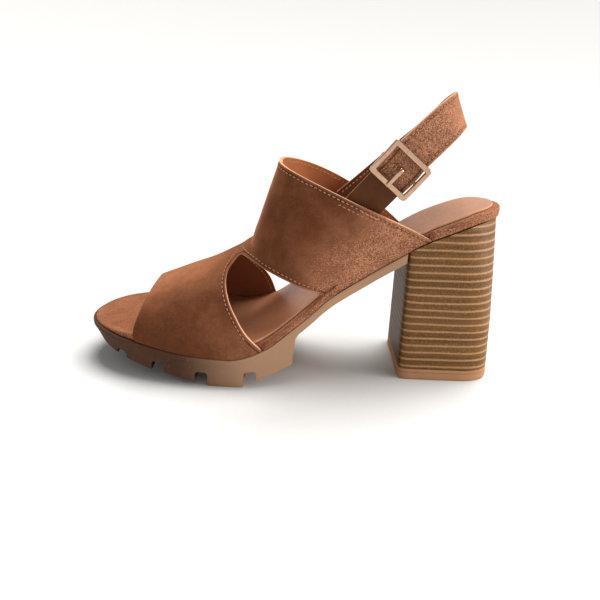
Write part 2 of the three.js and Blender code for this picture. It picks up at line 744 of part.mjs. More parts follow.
// Sling strap: through the buckle, over its bar, then round the back of the foot
function makeSling() {
  const under = crossbarFloor - clearance - strapThickness / 2;
  const over = pinOut + loopOuter + clearance + strapThickness / 2;
  const end = buckleAlong / 2 - 0.5;
  const points = [
    atBuckle(-end, 0, under - 0.2),
    atBuckle(-end + barWidth, 0, under - 0.1),
    atBuckle(-3, 0, over - 0.3),
    atBuckle(0, 0, over),
    atBuckle(3, 0, over - 0.3),
    atBuckle(end - barWidth, 0, under - 0.1),
    atBuckle(end + 1, 0, under - 0.3),
  ];
  for (const row of sling) {
    points.push(new THREE.Vector3(-pinSetback * row.back, pinOut * row.out, strapRise * row.up));
  }
  const curve = new THREE.CatmullRomCurve3(points, false, 'centripetal');
  const lean = new THREE.Vector3(-Math.sin(strapLean), 0, Math.cos(strapLean));
  const strip = new THREE.BoxGeometry(1, 1, 1, 64, 2, 1);
  const frames = new Map();
  const body = asSolid(reshape(strip, (p) => {
    const share = p.x + 0.5;
    if (!frames.has(share)) {
      const tangent = curve.getTangentAt(share);
      const up = acrossAxis.clone().lerp(lean, smooth(0.15, 0.42, share));
      const across = up.addScaledVector(tangent, -up.dot(tangent)).normalize();
      frames.set(share, { at: curve.getPointAt(share), across, out: across.clone().cross(tangent) });
    }
    const { at, across, out } = frames.get(share);
    return at.clone().addScaledVector(across, -p.y * strapWidth).addScaledVector(out, p.z * strapThickness);
  }));
  const slot = new THREE.BoxGeometry(strapSlotLength, prongWidth + clearance * 2, strapThickness * 6);
  return body.subtract(asSolid(reshape(slot, (p) => atBuckle(p.x - 0.6, p.y, p.z + over))));
}

const looks = {
  rubber: { color: 0x8d6248, roughness: 0.62, metalness: 0 },
  stack: { color: 0x7a5430, roughness: 0.5, metalness: 0 },
  lift: { color: 0xa87554, roughness: 0.6, metalness: 0 },
  suede: { color: 0x8f5230, roughness: 0.95, metalness: 0 },
  insole: { color: 0xb98764, roughness: 0.55, metalness: 0 },
  strap: { color: 0x85482b, roughness: 0.92, metalness: 0 },
  gold: { color: 0xe6c3a6, roughness: 0.22, metalness: 1 },
};

const pieces = [
  { name: 'outsole', body: makeOutsole(), look: looks.rubber },
  { name: 'heel_block', body: makeHeel(), look: looks.stack },
  { name: 'heel_toplift', body: makeLift(), look: looks.lift },
  { name: 'footbed', body: makeFootbed(), look: looks.suede },
  { name: 'insole', body: makeInsole(), look: looks.insole },
  { name: 'upper', body: upperShell(0, -wall, 0), look: looks.suede },
  { name: 'sling_strap', body: makeSling(), look: looks.strap },
  { name: 'buckle_tab', body: makeTab(), look: looks.strap },
  { name: 'buckle_frame', body: makeFrame(), look: looks.gold },
  { name: 'buckle_bar', body: pinSolid(pinRadius, buckleAcross - 0.6), look: looks.gold },
  { name: 'buckle_prong', body: makeProng(), look: looks.gold },
];

const sandal = new THREE.Group();
for (const piece of pieces) {
  const mesh = new THREE.Mesh(asGeometry(piece.body), new THREE.MeshStandardMaterial(piece.look));
  mesh.name = piece.name;
  sandal.add(mesh);
}

// The origin is put on the floor under the middle of the shoe
const bounds = new THREE.Box3().setFromObject(sandal);
const middle = bounds.getCenter(new THREE.Vector3());
sandal.position.set(-middle.x, -middle.y, -bounds.min.z);

export default sandal;
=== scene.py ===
import math
from bisect import bisect_left

import bmesh
import bpy
from mathutils import Matrix, Vector
from mathutils.bvhtree import BVHTree
from mathutils.kdtree import KDTree


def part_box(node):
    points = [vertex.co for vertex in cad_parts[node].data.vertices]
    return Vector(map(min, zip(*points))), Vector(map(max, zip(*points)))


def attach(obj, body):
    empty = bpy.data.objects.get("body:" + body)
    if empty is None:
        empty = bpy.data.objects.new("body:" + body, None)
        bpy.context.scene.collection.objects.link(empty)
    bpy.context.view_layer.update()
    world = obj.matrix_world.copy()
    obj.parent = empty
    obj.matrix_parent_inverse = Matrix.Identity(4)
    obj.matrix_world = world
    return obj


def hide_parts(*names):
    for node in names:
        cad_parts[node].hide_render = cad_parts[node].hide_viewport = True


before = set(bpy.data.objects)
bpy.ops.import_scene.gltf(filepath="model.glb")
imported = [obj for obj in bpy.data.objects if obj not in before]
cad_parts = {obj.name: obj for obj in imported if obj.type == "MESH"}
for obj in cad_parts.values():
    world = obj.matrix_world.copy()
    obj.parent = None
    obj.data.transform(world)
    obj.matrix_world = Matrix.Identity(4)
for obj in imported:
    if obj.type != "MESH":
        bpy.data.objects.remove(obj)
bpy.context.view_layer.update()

# A left block heel sandal. The shape values are in millimetres and in the shoe's own frame:
# x is zero at the back of the seat and runs to the toe in minus, the outer side is at minus y.
sole = {
    "length": 234, "ballWidth": 86, "seatWidth": 50, "platform": 16.5, "toeSpring": 7.5, "toeRoll": 6,
    "heelHeight": 94, "waist": 5.5, "lugReach": 17, "lugWallSlope": 1.5, "treadRecess": 3,
    "breast": 51.6, "gap": 0.3,
}
# along, outer and inner half width as shares of the local width
planTable = [
    (0, 0, 0), (0.02, 0.182, 0.219), (0.06, 0.303, 0.352), (0.12, 0.401, 0.431), (0.2, 0.473, 0.473),
    (0.3, 0.522, 0.48), (0.38, 0.534, 0.449), (0.48, 0.526, 0.409), (0.58, 0.53, 0.415),
    (0.68, 0.524, 0.444), (0.78, 0.5, 0.464), (0.88, 0.49, 0.475), (0.95, 0.392, 0.392),
    (0.985, 0.24, 0.24), (1, 0, 0),
]
# along, share of the heel's rise, share of the toe spring
riseTable = [
    (0, 0, 1), (0.06, 0, 0.9), (0.1, 0, 0.75), (0.15, 0, 0.62), (0.2, 0, 0.4), (0.26, 0, 0.16),
    (0.32, 0, 0.04), (0.37, 0, 0), (0.41, 0.021, 0), (0.46, 0.084, 0), (0.51, 0.195, 0),
    (0.56, 0.316, 0), (0.6, 0.42, 0), (0.68, 0.568, 0), (0.75, 0.7, 0), (0.83, 0.843, 0),
    (0.885, 0.914, 0), (0.94, 0.972, 0), (1, 1, 0),
]

# The shoe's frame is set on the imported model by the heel's front face and the lift's middle
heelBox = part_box("heel_block")
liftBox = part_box("heel_toplift")
shift = Vector((heelBox[0].x * 1000 + sole["breast"], (liftBox[0].y + liftBox[1].y) * 500, 0))


def place(x, y, z):
    return Vector((x + shift.x, y + shift.y, z)) / 1000


def unplace(point):
    return point * 1000 - shift


def mix(a, b, t):
    return a + (b - a) * t


def clamp(value, low=0.0, high=1.0):
    return max(low, min(high, value))


def smooth(low, high, value):
    t = clamp((value - low) / (high - low))
    return t * t * (3 - 2 * t)


# Running lengths of a line of points, and the place of one length on it
def runLengths(points):
    lengths = [0.0]
    for before, after in zip(points, points[1:]):
        lengths.append(lengths[-1] + (after - before).length)
    return lengths


def spotAt(lengths, want):
    at = bisect_left(lengths, want, 1, len(lengths) - 1) - 1
    return at, clamp((want - lengths[at]) / max(lengths[at + 1] - lengths[at], 1e-9))


# Smooth curve through one column of a table
def column(xs, ys):
    slopes = [0.0] * len(xs)
    for i in range(1, len(xs) - 1):
        before = (ys[i] - ys[i - 1]) / (xs[i] - xs[i - 1])
        after = (ys[i + 1] - ys[i]) / (xs[i + 1] - xs[i])
        slopes[i] = 0.0 if before * after <= 0 else 2 * before * after / (before + after)
    slopes[0] = (ys[1] - ys[0]) / (xs[1] - xs[0])
    slopes[-1] = (ys[-1] - ys[-2]) / (xs[-1] - xs[-2])

    def at(value):
        i = 0
        while i < len(xs) - 2 and value > xs[i + 1]:
            i += 1
        span = xs[i + 1] - xs[i]
        t = clamp((value - xs[i]) / span)
        s = 1 - t
        return (ys[i] * (1 + 2 * t) * s * s + ys[i + 1] * (3 - 2 * t) * t * t
                + span * (slopes[i] * t * s * s - slopes[i + 1] * t * t * s))

    return at


def tableCurve(table, index, measure=lambda share: share):
    return column([measure(row[0]) for row in table], [row[index] for row in table])


# Turn from the toe (0) to the seat (pi) at a share of the sole's length, and back
def turnAt(share):
    return math.acos(1 - 2 * share)


def turnShare(turn):
    return (1 - math.cos(turn)) / 2


outerPlan = tableCurve(planTable, 1, turnAt)
innerPlan = tableCurve(planTable, 2, turnAt)
heelRise = tableCurve(riseTable, 1)
toeRise = tableCurve(riseTable, 2)


def shareAt(x):
    return clamp(1 + x / sole["length"])


def halfAt(turn, side):
    along = turnShare(turn)
    width = mix(sole["ballWidth"], sole["seatWidth"], smooth(0.38, 0.72, along))
    return side * width * (outerPlan(turn) if side < 0 else innerPlan(turn))


def halfWidth(x, side):
    return halfAt(turnAt(shareAt(x)), side)


def soleTop(x):
    along = shareAt(x)
    return (sole["platform"] + heelRise(along) * (sole["heelHeight"] - sole["platform"])
            + toeRise(along) * sole["toeSpring"])


# Point of the sole's outline at a turn, drawn in by an inset
def planPoint(turn, side, inset):
    def at(angle):
        return Vector((-sole["length"] * (1 + math.cos(angle)) / 2, halfAt(angle, side)))

    before = at(max(turn - 0.01, 0))
    after = at(min(turn + 0.01, math.pi))
    inward = Vector((after.y - before.y, before.x - after.x)) * side
    if not 0.01 <= turn <= math.pi - 0.01:
        inward = Vector((1 if turn < 1 else -1, 0))
    return at(turn) + inward.normalized() * inset


# A material being made. Inputs of its nodes are numbers, colours or sockets of other nodes.
class Recipe:
    def __init__(self, name, **constants):
        self.material = bpy.data.materials.new(name)
        self.material.use_nodes = True
        self.tree = self.material.node_tree
        self.shader = self.tree.nodes["Principled BSDF"]
        for key, value in constants.items():
            self.shader.inputs[key].default_value = value
        self.coords = self.node("ShaderNodeTexCoord").outputs["Object"]

    def feed(self, socket, value):
        if isinstance(value, bpy.types.NodeSocket):
            self.tree.links.new(value, socket)
        else:
            socket.default_value = value

    def node(self, kind, inputs=None, **settings):
        made = self.tree.nodes.new(kind)
        for name, value in settings.items():
            setattr(made, name, value)
        for name, value in (inputs or {}).items():
            self.feed(made.inputs[name], value)
        return made

    def noise(self, scale, detail=3.0, rough=0.55, warp=0.0, at=None):
        return self.node("ShaderNodeTexNoise", {
            "Vector": at or self.coords, "Scale": scale, "Detail": detail, "Roughness": rough,
            "Distortion": warp,
        }).outputs["Fac"]

    def spread(self, value, low, high, toLow=0.0, toHigh=1.0):
        return self.node("ShaderNodeMapRange", {
            "Value": value, "From Min": low, "From Max": high, "To Min": toLow, "To Max": toHigh,
        }, interpolation_type="SMOOTHSTEP").outputs["Result"]

    def maths(self, operation, *values):
        return self.node("ShaderNodeMath", dict(enumerate(values)), operation=operation).outputs["Value"]

    # Inputs 0, 6 and 7 of the Mix node are the share and the two colours
    def tint(self, share, a, b):
        return self.node("ShaderNodeMix", {0: share, 6: a, 7: b}, data_type="RGBA").outputs[2]

    def bump(self, height, distance, strength=1.0, normal=None):
        inputs = {"Height": height, "Distance": distance, "Strength": strength}
        if normal is not None:
            inputs["Normal"] = normal
        return self.node("ShaderNodeBump", inputs).outputs["Normal"]

    def axes(self):
        return self.node("ShaderNodeSeparateXYZ", {"Vector": self.coords}).outputs

    def join(self, socket, name):
        self.feed(self.shader.inputs[name], socket)


def colour(red, green, blue):
    def linear(value):
        value /= 255
        return value / 12.92 if value <= 0.04045 else ((value + 0.055) / 1.055) ** 2.4
    return (linear(red), linear(green), linear(blue), 1.0)


# Short-nap suede, darker in front and lighter towards the rear: painted shade and light. The grain is its
# own; its pale specks and dark pits grow stronger with the painted light.
def makeSuede(name, dark, light, lightFrom, lightTo, grain=1.0, least=0.0, lean=0.0, crown=0.0):
    m = Recipe(name, **{
        "Roughness": 0.95, "Sheen Weight": 0.6, "Sheen Roughness": 0.38, "Specular IOR Level": 0.1,
        "Sheen Tint": colour(232, 160, 116),
    })
    axes = m.axes()
    # Painted light and shade: the share runs from dark in front to light at the rear, and its edge leans back
    # with height
    rearward = m.maths("SUBTRACT", axes["X"], m.maths("MULTIPLY", axes["Z"], lean))
    paintedLight = m.spread(rearward, lightFrom, lightTo, least, 1.0)
    paintedLight = m.maths("ADD", paintedLight, m.spread(m.noise(45), 0.35, 0.7, -0.14, 0.14))
    patches = m.spread(m.noise(42, 4, 0.6, 0.3), 0.36, 0.68)
    brushed = m.noise(150, 4, 0.7, 0.35)
    fine = m.noise(1550, 2, 0.75)
    hairs = m.noise(2600, 1, 0.5)
    base = m.tint(paintedLight, dark, light)
    # Painted highlight: a lighter patch on the top of the vamp, where light falls
    if crown:
        top = m.maths("MULTIPLY", m.spread(axes["Y"], -0.036, -0.006),
                      m.spread(axes["X"], -0.03, -0.055, 0.0, crown))
        base = m.tint(top, base, colour(186, 122, 84))
    base = m.tint(m.maths("MULTIPLY", patches, 0.3), base, colour(140, 83, 52))
    base = m.tint(m.spread(brushed, 0.32, 0.62, 0.34, 0.0), base, colour(62, 32, 17))
    # The grain's pale specks and dark pits grow stronger with the painted light towards the rear
    speck = m.maths("MULTIPLY", m.spread(fine, 0.5, 0.68), m.spread(paintedLight, 0.25, 0.9, 0.04, 0.62))
    base = m.tint(speck, base, colour(222, 166, 132))
    pits = m.maths("MULTIPLY", m.spread(fine, 0.5, 0.34), m.spread(paintedLight, 0.2, 0.9, 0.14, 0.78))
    base = m.tint(pits, base, colour(64, 32, 19))
    # nearEdge falls from 1 at a cut edge to 0 six millimetres in; along it a seam groove is bumped in and
    # darkened with painted shade
    near = m.node("ShaderNodeAttribute", attribute_name="nearEdge").outputs["Fac"]
    seamGrooveShade = m.spread(m.maths("ABSOLUTE", m.maths("SUBTRACT", near, 0.68)), 0.13, 0.03)
    # Painted shade in the seam groove
    base = m.tint(m.maths("MULTIPLY", seamGrooveShade, 0.6), base, colour(46, 23, 13))
    base = m.tint(m.spread(near, 0.84, 0.98, 0.0, 0.4), base, colour(190, 136, 104))
    m.join(base, "Base Color")
    first = m.bump(brushed, 0.00025 * grain, 0.5)
    second = m.bump(fine, 0.00030 * grain, 0.55, first)
    third = m.bump(hairs, 0.00012 * grain, 0.4, second)
    m.join(m.bump(m.maths("SUBTRACT", 1.0, seamGrooveShade), 0.0004, 0.7, third), "Normal")
    return m.material


suede = makeSuede("chestnutSuede", colour(96, 54, 32), colour(168, 113, 84), -0.068, -0.002,
                  lean=0.78, crown=0.5)
rimSuede = makeSuede("rimSuede", colour(134, 79, 50), colour(136, 89, 64), -0.02, 0.05, 1.1, 0.55)
strapSuede = makeSuede("strapSuede", colour(104, 60, 37), colour(152, 103, 77), 0.02, 0.055, 1.2)


# Smooth brown of the folded tab and of the inner faces
def makeSmooth(name, dark, light, rough, coat=0.0, gloss=0.18, low=None, rearShadow=0.0):
    m = Recipe(name, **{
        "Roughness": rough, "Coat Weight": coat, "Coat Roughness": 0.35, "Specular IOR Level": gloss,
    })
    cloud = m.noise(60, 4, 0.6, 0.5)
    pores = m.node("ShaderNodeTexVoronoi", {"Vector": m.coords, "Scale": 1500.0}).outputs["Distance"]
    base = m.tint(m.spread(cloud, 0.3, 0.7), dark, light)
    # Painted shade: the inner faces darken lower down, under the vamp, and the lining also darkens towards
    # the rear as a painted shadow of the strap and collar
    if low:
        axes = m.axes()
        deep = m.maths("MAXIMUM", m.spread(axes["Z"], 0.088, 0.072), m.spread(axes["X"], 0.0, 0.02, 0.0, rearShadow))
        base = m.tint(deep, base, low)
    base = m.tint(m.spread(pores, 0.25, 0.05, 0.0, 0.14), base, colour(60, 32, 18))
    m.join(base, "Base Color")
    m.join(m.spread(m.noise(320), 0.3, 0.7, rough - 0.06, rough + 0.1), "Roughness")
    m.join(m.bump(pores, 0.00012, 0.5), "Normal")
    return m.material


lining = makeSmooth("orangeLining", colour(196, 122, 74), colour(208, 134, 86), 0.62, 0, 0.2,
                    colour(134, 77, 46), 0.55)
insoleSkin = makeSmooth("pinkTanInsole", colour(168, 117, 88), colour(178, 127, 98), 0.46, 0.3, 0.3,
                        colour(148, 97, 68))
tabSkin = makeSmooth("brownTab", colour(82, 47, 26), colour(92, 54, 31), 0.62, 0, 0.1)
cutEdge = makeSmooth("paleCutEdge", colour(194, 140, 106), colour(214, 162, 128), 0.75)
thread = makeSmooth("brownThread", colour(164, 112, 83), colour(182, 130, 101), 0.75)


# Moulded rubber, lighter towards the rear: painted light
def makeRubber(name, low, high, rough, litRear):
    m = Recipe(name, **{"Roughness": rough, "Specular IOR Level": 0.14})
    cloud = m.noise(55, 5, 0.6, 0.3)
    grain = m.noise(900, 3, 0.6)
    scuffs = m.noise(160, 2, 0.5, 2.5)
    axes = m.axes()
    # Painted light: the rubber lightens from the toe towards the rear
    litRearShare = m.spread(axes["X"], -0.064, -0.018, 0.0, litRear)
    base = m.tint(m.spread(cloud, 0.3, 0.7), low, high)
    base = m.tint(litRearShare, base, colour(172, 134, 106))
    base = m.tint(m.spread(scuffs, 0.6, 0.76, 0.0, 0.14), base, colour(190, 158, 134))
    m.join(base, "Base Color")
    m.join(m.spread(scuffs, 0.35, 0.7, rough - 0.08, rough + 0.12), "Roughness")
    m.join(m.bump(grain, 0.00010, 0.5), "Normal")
    return m.material


soleRubber = makeRubber("taupeRubber", colour(70, 44, 28), colour(80, 51, 33), 0.65, 0.84)
liftRubber = makeRubber("tanLift", colour(160, 116, 82), colour(170, 126, 92), 0.85, 0.0)


# Stacked-look heel: brown bands with grain, ochre lines between them, glossier on the front face
stack = {"pitch": 0.0043, "line": 0.001, "first": 0.0066, "frontFrom": 0.0022}


def makeStack():
    m = Recipe("stackedHeel")
    axes = m.axes()
    flattened = m.node("ShaderNodeMapping", {"Vector": m.coords, "Scale": (1.0, 1.0, 3.4)})
    stretched = flattened.outputs["Vector"]
    wobble = m.spread(m.noise(26, 2, at=stretched), 0.3, 0.7, -0.00022, 0.00022)
    height = m.maths("ADD", axes["Z"], wobble)
    level = m.maths("DIVIDE", m.maths("SUBTRACT", height, stack["first"]), stack["pitch"])
    within = m.maths("FRACT", level)
    half = stack["line"] / stack["pitch"] / 2
    away = m.maths("ABSOLUTE", m.maths("SUBTRACT", within, 0.5))
    line = m.spread(away, half + 0.09, half - 0.07)
    band = m.node("ShaderNodeTexWhiteNoise", {"W": m.maths("FLOOR", level)}, noise_dimensions="1D")
    flecks = m.noise(1250, 2, 0.7)
    cloud = m.noise(60, 3, 0.6, at=stretched)
    brown = m.tint(m.spread(band.outputs["Value"], 0, 1), colour(92, 60, 27), colour(110, 73, 36))
    brown = m.tint(m.spread(cloud, 0.3, 0.7, 0.0, 0.35), brown, colour(90, 62, 34))
    brown = m.tint(m.spread(flecks, 0.54, 0.68, 0.0, 0.45), brown, colour(160, 118, 66))
    brown = m.tint(m.spread(flecks, 0.46, 0.32, 0.0, 0.6), brown, colour(62, 40, 20))
    ochre = m.tint(m.spread(flecks, 0.3, 0.7), colour(148, 110, 68), colour(174, 131, 90))
    base = m.tint(line, brown, ochre)
    front = m.spread(axes["X"], heelBox[0].x + stack["frontFrom"], heelBox[0].x + 0.0004)
    base = m.tint(m.maths("MULTIPLY", front, 0.7), base, colour(66, 42, 27))
    m.join(base, "Base Color")
    m.join(m.spread(front, 0, 1, 0.5, 0.45), "Roughness")
    m.join(m.spread(front, 0, 1, 0.2, 0.05), "Specular IOR Level")
    m.join(m.bump(line, 0.00010, 0.6, m.bump(flecks, 0.00005, 0.4)), "Normal")
    return m.material


stackedHeel = makeStack()


# Polished pale rose gold with faint wipe marks
def makeGold():
    m = Recipe("roseGold", **{"Metallic": 1.0})
    marks = m.noise(420, 3, 0.6, 1.2)
    base = m.tint(m.spread(marks, 0.3, 0.7), colour(182, 145, 120), colour(202, 166, 141))
    m.join(base, "Base Color")
    m.join(m.spread(marks, 0.3, 0.75, 0.08, 0.17), "Roughness")
    m.join(m.bump(marks, 0.00004, 0.3), "Normal")
    return m.material


gold = makeGold()
print("materials made")


def addObject(name, data):
    made = bpy.data.objects.new(name, data)
    bpy.context.scene.collection.objects.link(made)
    return made


def meshObject(bm, name, materials=()):
    mesh = bpy.data.meshes.new(name)
    bm.to_mesh(mesh)
    bm.free()
    for material in materials:
        mesh.materials.append(material)
    return addObject(name, mesh)


# A bmesh becomes a piece in the scene that rides on the shoe
def makePiece(bm, name, materials, replaced=(), sharpAngle=38):
    made = meshObject(bm, name, materials)
    finishPiece(made, replaced, sharpAngle)
    return made


def finishPiece(piece, replaced=(), sharpAngle=38):
    piece.data.shade_smooth()
    piece.data.set_sharp_from_angle(angle=math.radians(sharpAngle))
    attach(piece, "root")
    if replaced:
        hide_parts(*replaced)


# Puts the modifiers' result into the mesh
def applyModifiers(piece):
    depsgraph = bpy.context.evaluated_depsgraph_get()
    made = bpy.data.meshes.new_from_object(piece.evaluated_get(depsgraph))
    piece.modifiers.clear()
    piece.data = made


# Wall with a lining inside and a cut edge round it
def addWall(piece, thickness, offset):
    wall = piece.modifiers.new("wall", "SOLIDIFY")
    wall.thickness = thickness / 1000
    wall.offset = offset
    wall.material_offset = 1
    wall.material_offset_rim = 2


def soften(piece, width, angle):
    modifier = piece.modifiers.new("soften", "BEVEL")
    modifier.width = width / 1000
    modifier.segments = 2
    modifier.limit_method = "ANGLE"
    modifier.angle_limit = math.radians(angle)
    applyModifiers(piece)


def cutWith(piece, cutters):
    for cutter in cutters:
        modifier = piece.modifiers.new("cut", "BOOLEAN")
        modifier.operation = "DIFFERENCE"
        modifier.solver = "EXACT"
        modifier.object = cutter
    applyModifiers(piece)
    for cutter in cutters:
        bpy.data.objects.remove(cutter)


# Takes out the slivers that a cut leaves
def dropSlivers(piece):
    bm = bmesh.new()
    bm.from_mesh(piece.data)
    bmesh.ops.triangulate(bm, faces=bm.faces)
    bmesh.ops.remove_doubles(bm, verts=bm.verts, dist=5e-6)
    bmesh.ops.dissolve_degenerate(bm, edges=bm.edges, dist=5e-6)
    bmesh.ops.recalc_face_normals(bm, faces=bm.faces)
    bm.to_mesh(piece.data)
    bm.free()


def vertsOf(items):
    return [item for item in items if isinstance(item, bmesh.types.BMVert)]


# Closes what is open and turns the faces outwards
def closeUp(bm):
    bmesh.ops.holes_fill(bm, edges=[edge for edge in bm.edges if edge.is_boundary], sides=0)
    bmesh.ops.recalc_face_normals(bm, faces=bm.faces)


# Rings extruded one after another from a circle; put gives the place of a ring's point at its angle
def sweepRings(segments, count, angleAt, put):
    bm = bmesh.new()
    layer = bm.verts.layers.float.new("angle")
    moving = list(bmesh.ops.create_circle(bm, cap_ends=False, segments=segments, radius=1)["verts"])
    for i, vert in enumerate(moving):
        vert[layer] = angleAt(i / segments)
    edges = bm.edges[:]
    for index in range(count):
        if index:
            made = bmesh.ops.extrude_edge_only(bm, edges=edges)["geom"]
            moving = vertsOf(made)
            fresh = set(moving)
            edges = [item for item in made
                     if isinstance(item, bmesh.types.BMEdge) and set(item.verts) <= fresh]
        for vert in moving:
            vert.co = put(index, vert[layer])
    closeUp(bm)
    return bm


# Outline in the side view made into a block across the shoe
def addPrism(bm, outline, fromY, toY, slotIndex=0):
    ring = bmesh.ops.create_circle(bm, cap_ends=True, segments=len(outline), radius=1)["verts"]
    for vert, (x, z) in zip(ring, outline):
        vert.co = place(x, fromY, z)
    face = ring[0].link_faces[0]
    moved = vertsOf(bmesh.ops.extrude_face_region(bm, geom=[face])["geom"])
    bmesh.ops.translate(bm, verts=moved, vec=(0, (toY - fromY) / 1000, 0))
    for vert in list(ring) + moved:
        for side in vert.link_faces:
            side.material_index = slotIndex


def makeCutter(bm, name, materials=()):
    bmesh.ops.recalc_face_normals(bm, faces=bm.faces)
    return meshObject(bm, name, materials)


# A number, or one that follows the place on the sole's outline
def amount(value, turn, side):
    return value(turn, side) if callable(value) else value


# Lays a sheet with the sole's outline. Rows run across the shoe from toe to seat, and each point
# keeps its turn and its share across, so that a rim can follow the same outline.
def layDeck(bm, rows, columns, inset, height, fromTurn=0.0, pinch=None):
    layers = bm.verts.layers.float
    if not bm.verts:
        layers.new("turn")
        layers.new("across")
    turnLayer, acrossLayer = layers["turn"], layers["across"]
    made = bmesh.ops.create_grid(bm, x_segments=rows, y_segments=columns, size=1)["verts"]
    for vert in made:
        turn = mix(fromTurn, math.pi, (vert.co.x + 1) / 2)
        across = math.sin(vert.co.y * math.pi / 2) * 0.5 + 0.5
        vert[turnLayer] = turn
        vert[acrossLayer] = across
        outer, inner = [planPoint(turn, side, amount(inset, turn, side)) for side in (-1, 1)]
        flat = outer.lerp(inner, across)
        if pinch:
            flat.y *= pinch(flat.x)
        vert.co = place(flat.x, flat.y, height(flat.x, across))
    bmesh.ops.remove_doubles(bm, verts=bm.verts, dist=2e-6)


# Adds a rim below the sheet: each step of the profile is an extra inset and a height
def addRim(bm, inset, profile, slotIndex=0, pinch=None):
    turnLayer, acrossLayer = bm.verts.layers.float["turn"], bm.verts.layers.float["across"]
    for extra, height in profile:
        edges = [edge for edge in bm.edges if edge.is_boundary]
        made = bmesh.ops.extrude_edge_only(bm, edges=edges)["geom"]
        for item in made:
            if isinstance(item, bmesh.types.BMFace):
                item.material_index = slotIndex
            if isinstance(item, bmesh.types.BMVert):
                turn = item[turnLayer]
                side = -1 if item[acrossLayer] < 0.5 else 1
                flat = planPoint(turn, side, amount(inset, turn, side) + amount(extra, turn, side))
                if pinch:
                    flat.y *= pinch(flat.x)
                item.co = place(flat.x, flat.y, height(flat.x))


# Deck with its rim and an underside that ends at the profile's last step
def makeDeck(rows, columns, inset, top, profile, slotIndex=0, fromTurn=0.0, pinch=None):
    bm = bmesh.new()
    layDeck(bm, rows, columns, inset, top, fromTurn, pinch)
    addRim(bm, inset, profile, slotIndex, pinch)
    extra, height = profile[-1]
    underInset = lambda turn, side: amount(inset, turn, side) + amount(extra, turn, side)
    layDeck(bm, rows, 6, underInset, lambda x, across: height(x), fromTurn, pinch)
    closeUp(bm)
    return bm


# Outsole: lip round the top edge, drafted wall, tread cut from below
tread = {
    "lift": [(0, 1.05), (0.03, 0.72), (0.064, 0.62), (0.085, 0.56), (0.12, 0.51), (0.177, 0.385),
             (0.214, 0.33), (0.285, 0.12), (0.322, 0), (0.4, 0), (0.442, 0.24), (0.48, 0.47), (0.519, 0.74)],
    "notches": [(0.0855, 0.1125, 0.79), (0.1825, 0.2135, 0.7), (0.2895, 0.3205, 0.5), (0.405, 0.436, 0.57)],
    "cells": [(0.1, 0.14), (0.17, 0.235), (0.27, 0.345), (0.38, 0.455), (0.48, 0.5)],
    "lipHeight": 2.3, "lipDepth": 0.5, "topRound": 0.45, "corner": 2.2, "deep": -4,
}
treadLift = tableCurve(tread["lift"], 1)


def alongX(share):
    return -sole["length"] * (1 - share)


def wallInset(turn, z):
    along = turnShare(turn)
    full = sole["platform"] + sole["toeSpring"] + sole["waist"]
    level = clamp((z - tread["deep"]) / (full - tread["deep"]))
    draft = max(0, sole["platform"] + sole["toeSpring"] * 0.5 - z) * sole["toeRoll"] / sole["platform"]
    return draft * (1 - smooth(0.02, 0.2, along)) + (1 - level) * 1.2


def makeOutsole():
    deep = tread["deep"]
    lip = tread["lipHeight"]
    rounding = tread["topRound"]

    def wallStep(share):
        def height(x):
            return mix(soleTop(x) - lip - 0.5, deep, share)

        def extra(turn, side):
            return wallInset(turn, height(planPoint(turn, side, 0).x)) + tread["lipDepth"] - rounding

        return extra, height

    profile = [
        (-0.32, lambda x: soleTop(x) - 0.12), (-rounding, lambda x: soleTop(x) - 0.5),
        (-rounding, lambda x: soleTop(x) - lip),
    ] + [wallStep(share) for share in (0, 0.06, 0.25, 0.5, 0.75, 1)]
    bm = makeDeck(170, 10, rounding, lambda x, across: soleTop(x), profile)
    piece = makePiece(bm, "outsoleRubber", [soleRubber], ["outsole"])

    wide = sole["ballWidth"]
    high = sole["heelHeight"] * 2
    lugEnd = tread["lift"][-1][0]
    wallX = alongX(lugEnd)
    under = [(alongX(-0.1), deep * 3), (alongX(-0.1), treadLift(0) * sole["platform"])]
    under += [(alongX(lugEnd * i / 60), treadLift(lugEnd * i / 60) * sole["platform"]) for i in range(1, 61)]
    slope = sole["lugWallSlope"]
    under.append((wallX + slope, soleTop(wallX + slope) - sole["waist"] - slope))
    breast = -sole["breast"] - sole["gap"]
    for i in range(41):
        x = mix(wallX + slope * 2, breast, i / 40)
        under.append((x, soleTop(x) - sole["waist"]))
    under += [(breast, high), (40, high), (40, deep * 3)]
    below = bmesh.new()
    addPrism(below, under, -wide, wide)
    notchBlocks = bmesh.new()
    for start, end, ceiling in tread["notches"]:
        low, top, corner = deep * 2, ceiling * sole["platform"], tread["corner"]
        x0, x1 = alongX(start), alongX(end)
        cut = [(x0, low), (x1, low)]
        for i in range(13):
            angle = math.pi * i / 12
            middle = x1 - corner if i <= 6 else x0 + corner
            cut.append((middle + corner * math.cos(angle), top - corner * (1 - math.sin(angle))))
        middle = (x0 + x1) / 2
        addPrism(notchBlocks, cut, -wide, halfWidth(middle, -1) + sole["lugReach"])
        addPrism(notchBlocks, cut, halfWidth(middle, 1) - sole["lugReach"], wide)
    cells = bmesh.new()
    for start, end in tread["cells"]:
        tops = [(alongX(mix(start, end, i / 6)), treadLift(mix(start, end, i / 6)) * sole["platform"]
                 + sole["treadRecess"]) for i in range(7)]
        cut = tops + [(alongX(end), deep * 2), (alongX(start), deep * 2)]
        middle = alongX((start + end) / 2)
        addPrism(cells, cut, halfWidth(middle, -1) + sole["lugReach"],
                 halfWidth(middle, 1) - sole["lugReach"])
    cutWith(piece, [makeCutter(below, "below"), makeCutter(notchBlocks, "notchBlocks"),
                    makeCutter(cells, "cells")])
    dropSlivers(piece)
    finishPiece(piece, (), 32)


makeOutsole()
print("outsole made")

